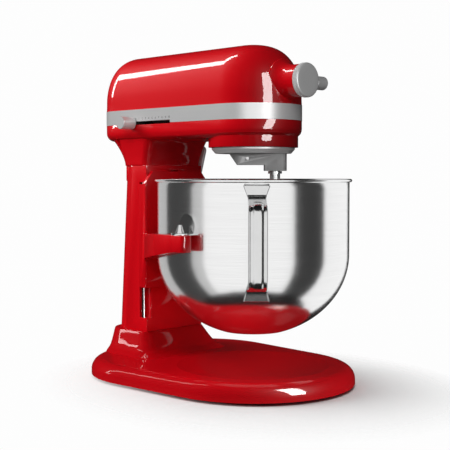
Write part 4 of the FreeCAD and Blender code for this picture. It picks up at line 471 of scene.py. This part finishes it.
bowl_piece()
cap_piece()
handle_piece()
hub_root_piece()
number_marks()
for name, width in EDGE_WIDTHS.items():
    softened(name, width)


# ---- studio -------------------------------------------------------------------------------
def area_light(name, place, target, width, height, brightness, group=None, glossy=True, diffuse=True):
    """Rectangular soft light that faces a target.  Its brightness is that of its face, whatever its
    size; a group limits it to some pieces, and glossy and diffuse say whether it shows in
    reflections and whether it lights the matt part of a finish."""
    data = bpy.data.lights.new(name, "AREA")
    data.shape = "RECTANGLE"
    data.size = width
    data.size_y = height
    data.energy = brightness * width * height * math.pi
    light = bpy.data.objects.new(name, data)
    light.location = place
    light.rotation_mode = "QUATERNION"
    light.rotation_quaternion = (Vector(target) - Vector(place)).to_track_quat("-Z", "Y")
    light.visible_camera = False
    light.visible_glossy = glossy
    light.visible_diffuse = diffuse
    if group:
        light.light_linking.receiver_collection = LIT_AS[group]
    bpy.context.scene.collection.objects.link(light)
    return light


def around(bearing, distance, height):
    """Place round the bowl's axis: bearing 0 is the camera's side, positive to its right."""
    turn = math.radians(bearing)
    heading = np.array(CAMERA_HEADING)
    right = np.array([heading[1], -heading[0]])
    spot = distance * (math.sin(turn) * right - math.cos(turn) * heading)
    return (spot[0], spot[1], height)


def make_world():
    """White as the camera sees it, dim in reflections, and a soft level as light."""
    world = bpy.data.worlds.new("studio")
    world.use_nodes = True
    tree = world.node_tree
    tree.nodes.clear()
    paths = tree.nodes.new("ShaderNodeLightPath")
    out = tree.nodes.new("ShaderNodeOutputWorld")
    levels = {}
    for name, level in (("seen", 0.985), ("mirrored", 0.010), ("light", 0.11)):
        node = tree.nodes.new("ShaderNodeBackground")
        node.inputs["Color"].default_value = grey(1.0)
        node.inputs["Strength"].default_value = level
        levels[name] = node.outputs[0]
    shade = levels["light"]
    for ray, level in (("Glossy", "mirrored"), ("Transmission", "seen"), ("Camera", "seen")):
        mix = tree.nodes.new("ShaderNodeMixShader")
        tree.links.new(paths.outputs[f"Is {ray} Ray"], mix.inputs[0])
        tree.links.new(shade, mix.inputs[1])
        tree.links.new(levels[level], mix.inputs[2])
        shade = mix.outputs[0]
    tree.links.new(shade, out.inputs["Surface"])
    bpy.context.scene.world = world


MIDDLE = (0, 0.06, 0.22)
HEAD = (-0.04, 0.08, 0.40)
NOSE = (0, 0, 0.36)
BASE = (0, 0, 0.02)


def light_matt():
    """Soft lights for the matt part of the finishes: the left side, the front and the right of the
    base, and the floor from above."""
    area_light("key_left", around(-94, 1.6, 1.20), MIDDLE, 1.2, 1.2, 5.4, glossy=False)
    area_light("fill_front", around(-22, 1.9, 1.4), MIDDLE, 1.0, 1.0, 4.6, "paint", glossy=False)
    area_light("base_right", around(66, 1.6, 1.1), BASE, 0.9, 0.9, 5.0, "base", glossy=False)
    area_light("satin_front", around(-4, 1.8, 0.7), MIDDLE, 1.6, 1.5, 2.5, "satin")
    area_light("floor_white", (0, 0.05, 2.6), (0, 0.05, 0), 2.6, 2.6, 2.2, "floor", glossy=False)


# strips that only show as highlights: name, place, what it faces, width, height, brightness, group
STRIPS = (
    ("shoulder_strip", (-0.58, 1.40, 1.48), HEAD, 0.24, 2.0, 22, "paint"),
    ("nose_strip", around(32, 1.6, 0.6), NOSE, 0.62, 1.7, 22, "paint"),
    ("base_strip", (-0.62, 1.10, 0.95), (-0.1, 0.1, 0.03), 0.06, 1.5, 9, "base"),
    ("pedestal_strip", (-0.90, 1.35, 0.42), (-0.06, 0.18, 0.04), 0.10, 0.16, 6, "base"),
    ("base_front_strip", around(47, 1.5, 0.90), BASE, 0.60, 1.8, 40, "base"),
    ("band_strip", around(32, 1.6, 0.35), NOSE, 0.62, 1.3, 5.0, "satin"),
)

# tall panels that the bright steel mirrors: name, first and last bearing, brightness
STEEL_PANELS = (("back_left", -180, -122, 0.55), ("left_dim", -122, -76, 0.05),
                ("left_ramp", -76, -60, 0.60), ("front", -60, 46, 1.05),
                ("right_dim", 46, 82, 0.03), ("right", 87, 146, 1.05))


def stand_panels():
    """Ring of upright panels round the mixer; each is split into flat parts of about 30 degrees."""
    distance, tall, centre_z = 2.0, 5.0, 0.1
    for name, start, end, level in STEEL_PANELS:
        parts = max(1, round((end - start) / 30))
        span = (end - start) / parts
        width = 2 * distance * math.tan(math.radians(span / 2))
        for i in range(parts):
            place = around(start + (i + 0.5) * span, distance, centre_z)
            area_light(f"steel_{name}_{i}", place, (0, 0, centre_z), width, tall, level, "bright")


def make_floor():
    """Pale floor that fades out round the mixer and keeps its shadow."""
    reach = 3.0
    mesh = bpy.data.meshes.new("floor")
    corners = [(-reach, -reach, 0), (reach, -reach, 0), (reach, reach, 0), (-reach, reach, 0)]
    mesh.from_pydata(corners, [], [(0, 1, 2, 3)])
    floor = bpy.data.objects.new("floor", mesh)
    bpy.context.scene.collection.objects.link(floor)
    f = Finish("pale_floor", Roughness=0.8, Specular_IOR_Level=0.1)
    f.set(Base_Color=f.mixed(f.noise(f.place, 3.0, 2.0), grey(0.90), grey(0.92)))
    # full under the mixer, clear at about 250 mm to the side and 300 mm to front and rear
    place = f.stretched(4.0, 3.3, 2.0)
    spread = f.add("ShaderNodeTexGradient", {"gradient_type": "SPHERICAL"}, Vector=place)
    f.set(Alpha=Amount(f, spread.outputs["Fac"]) * 1.8)
    mesh.materials.append(f.material)
    floor.visible_glossy = False
    floor.visible_shadow = False
    LIT_AS["floor"].objects.link(floor)


make_world()
light_matt()
for strip in STRIPS:
    area_light(*strip, diffuse=False)
stand_panels()
make_floor()
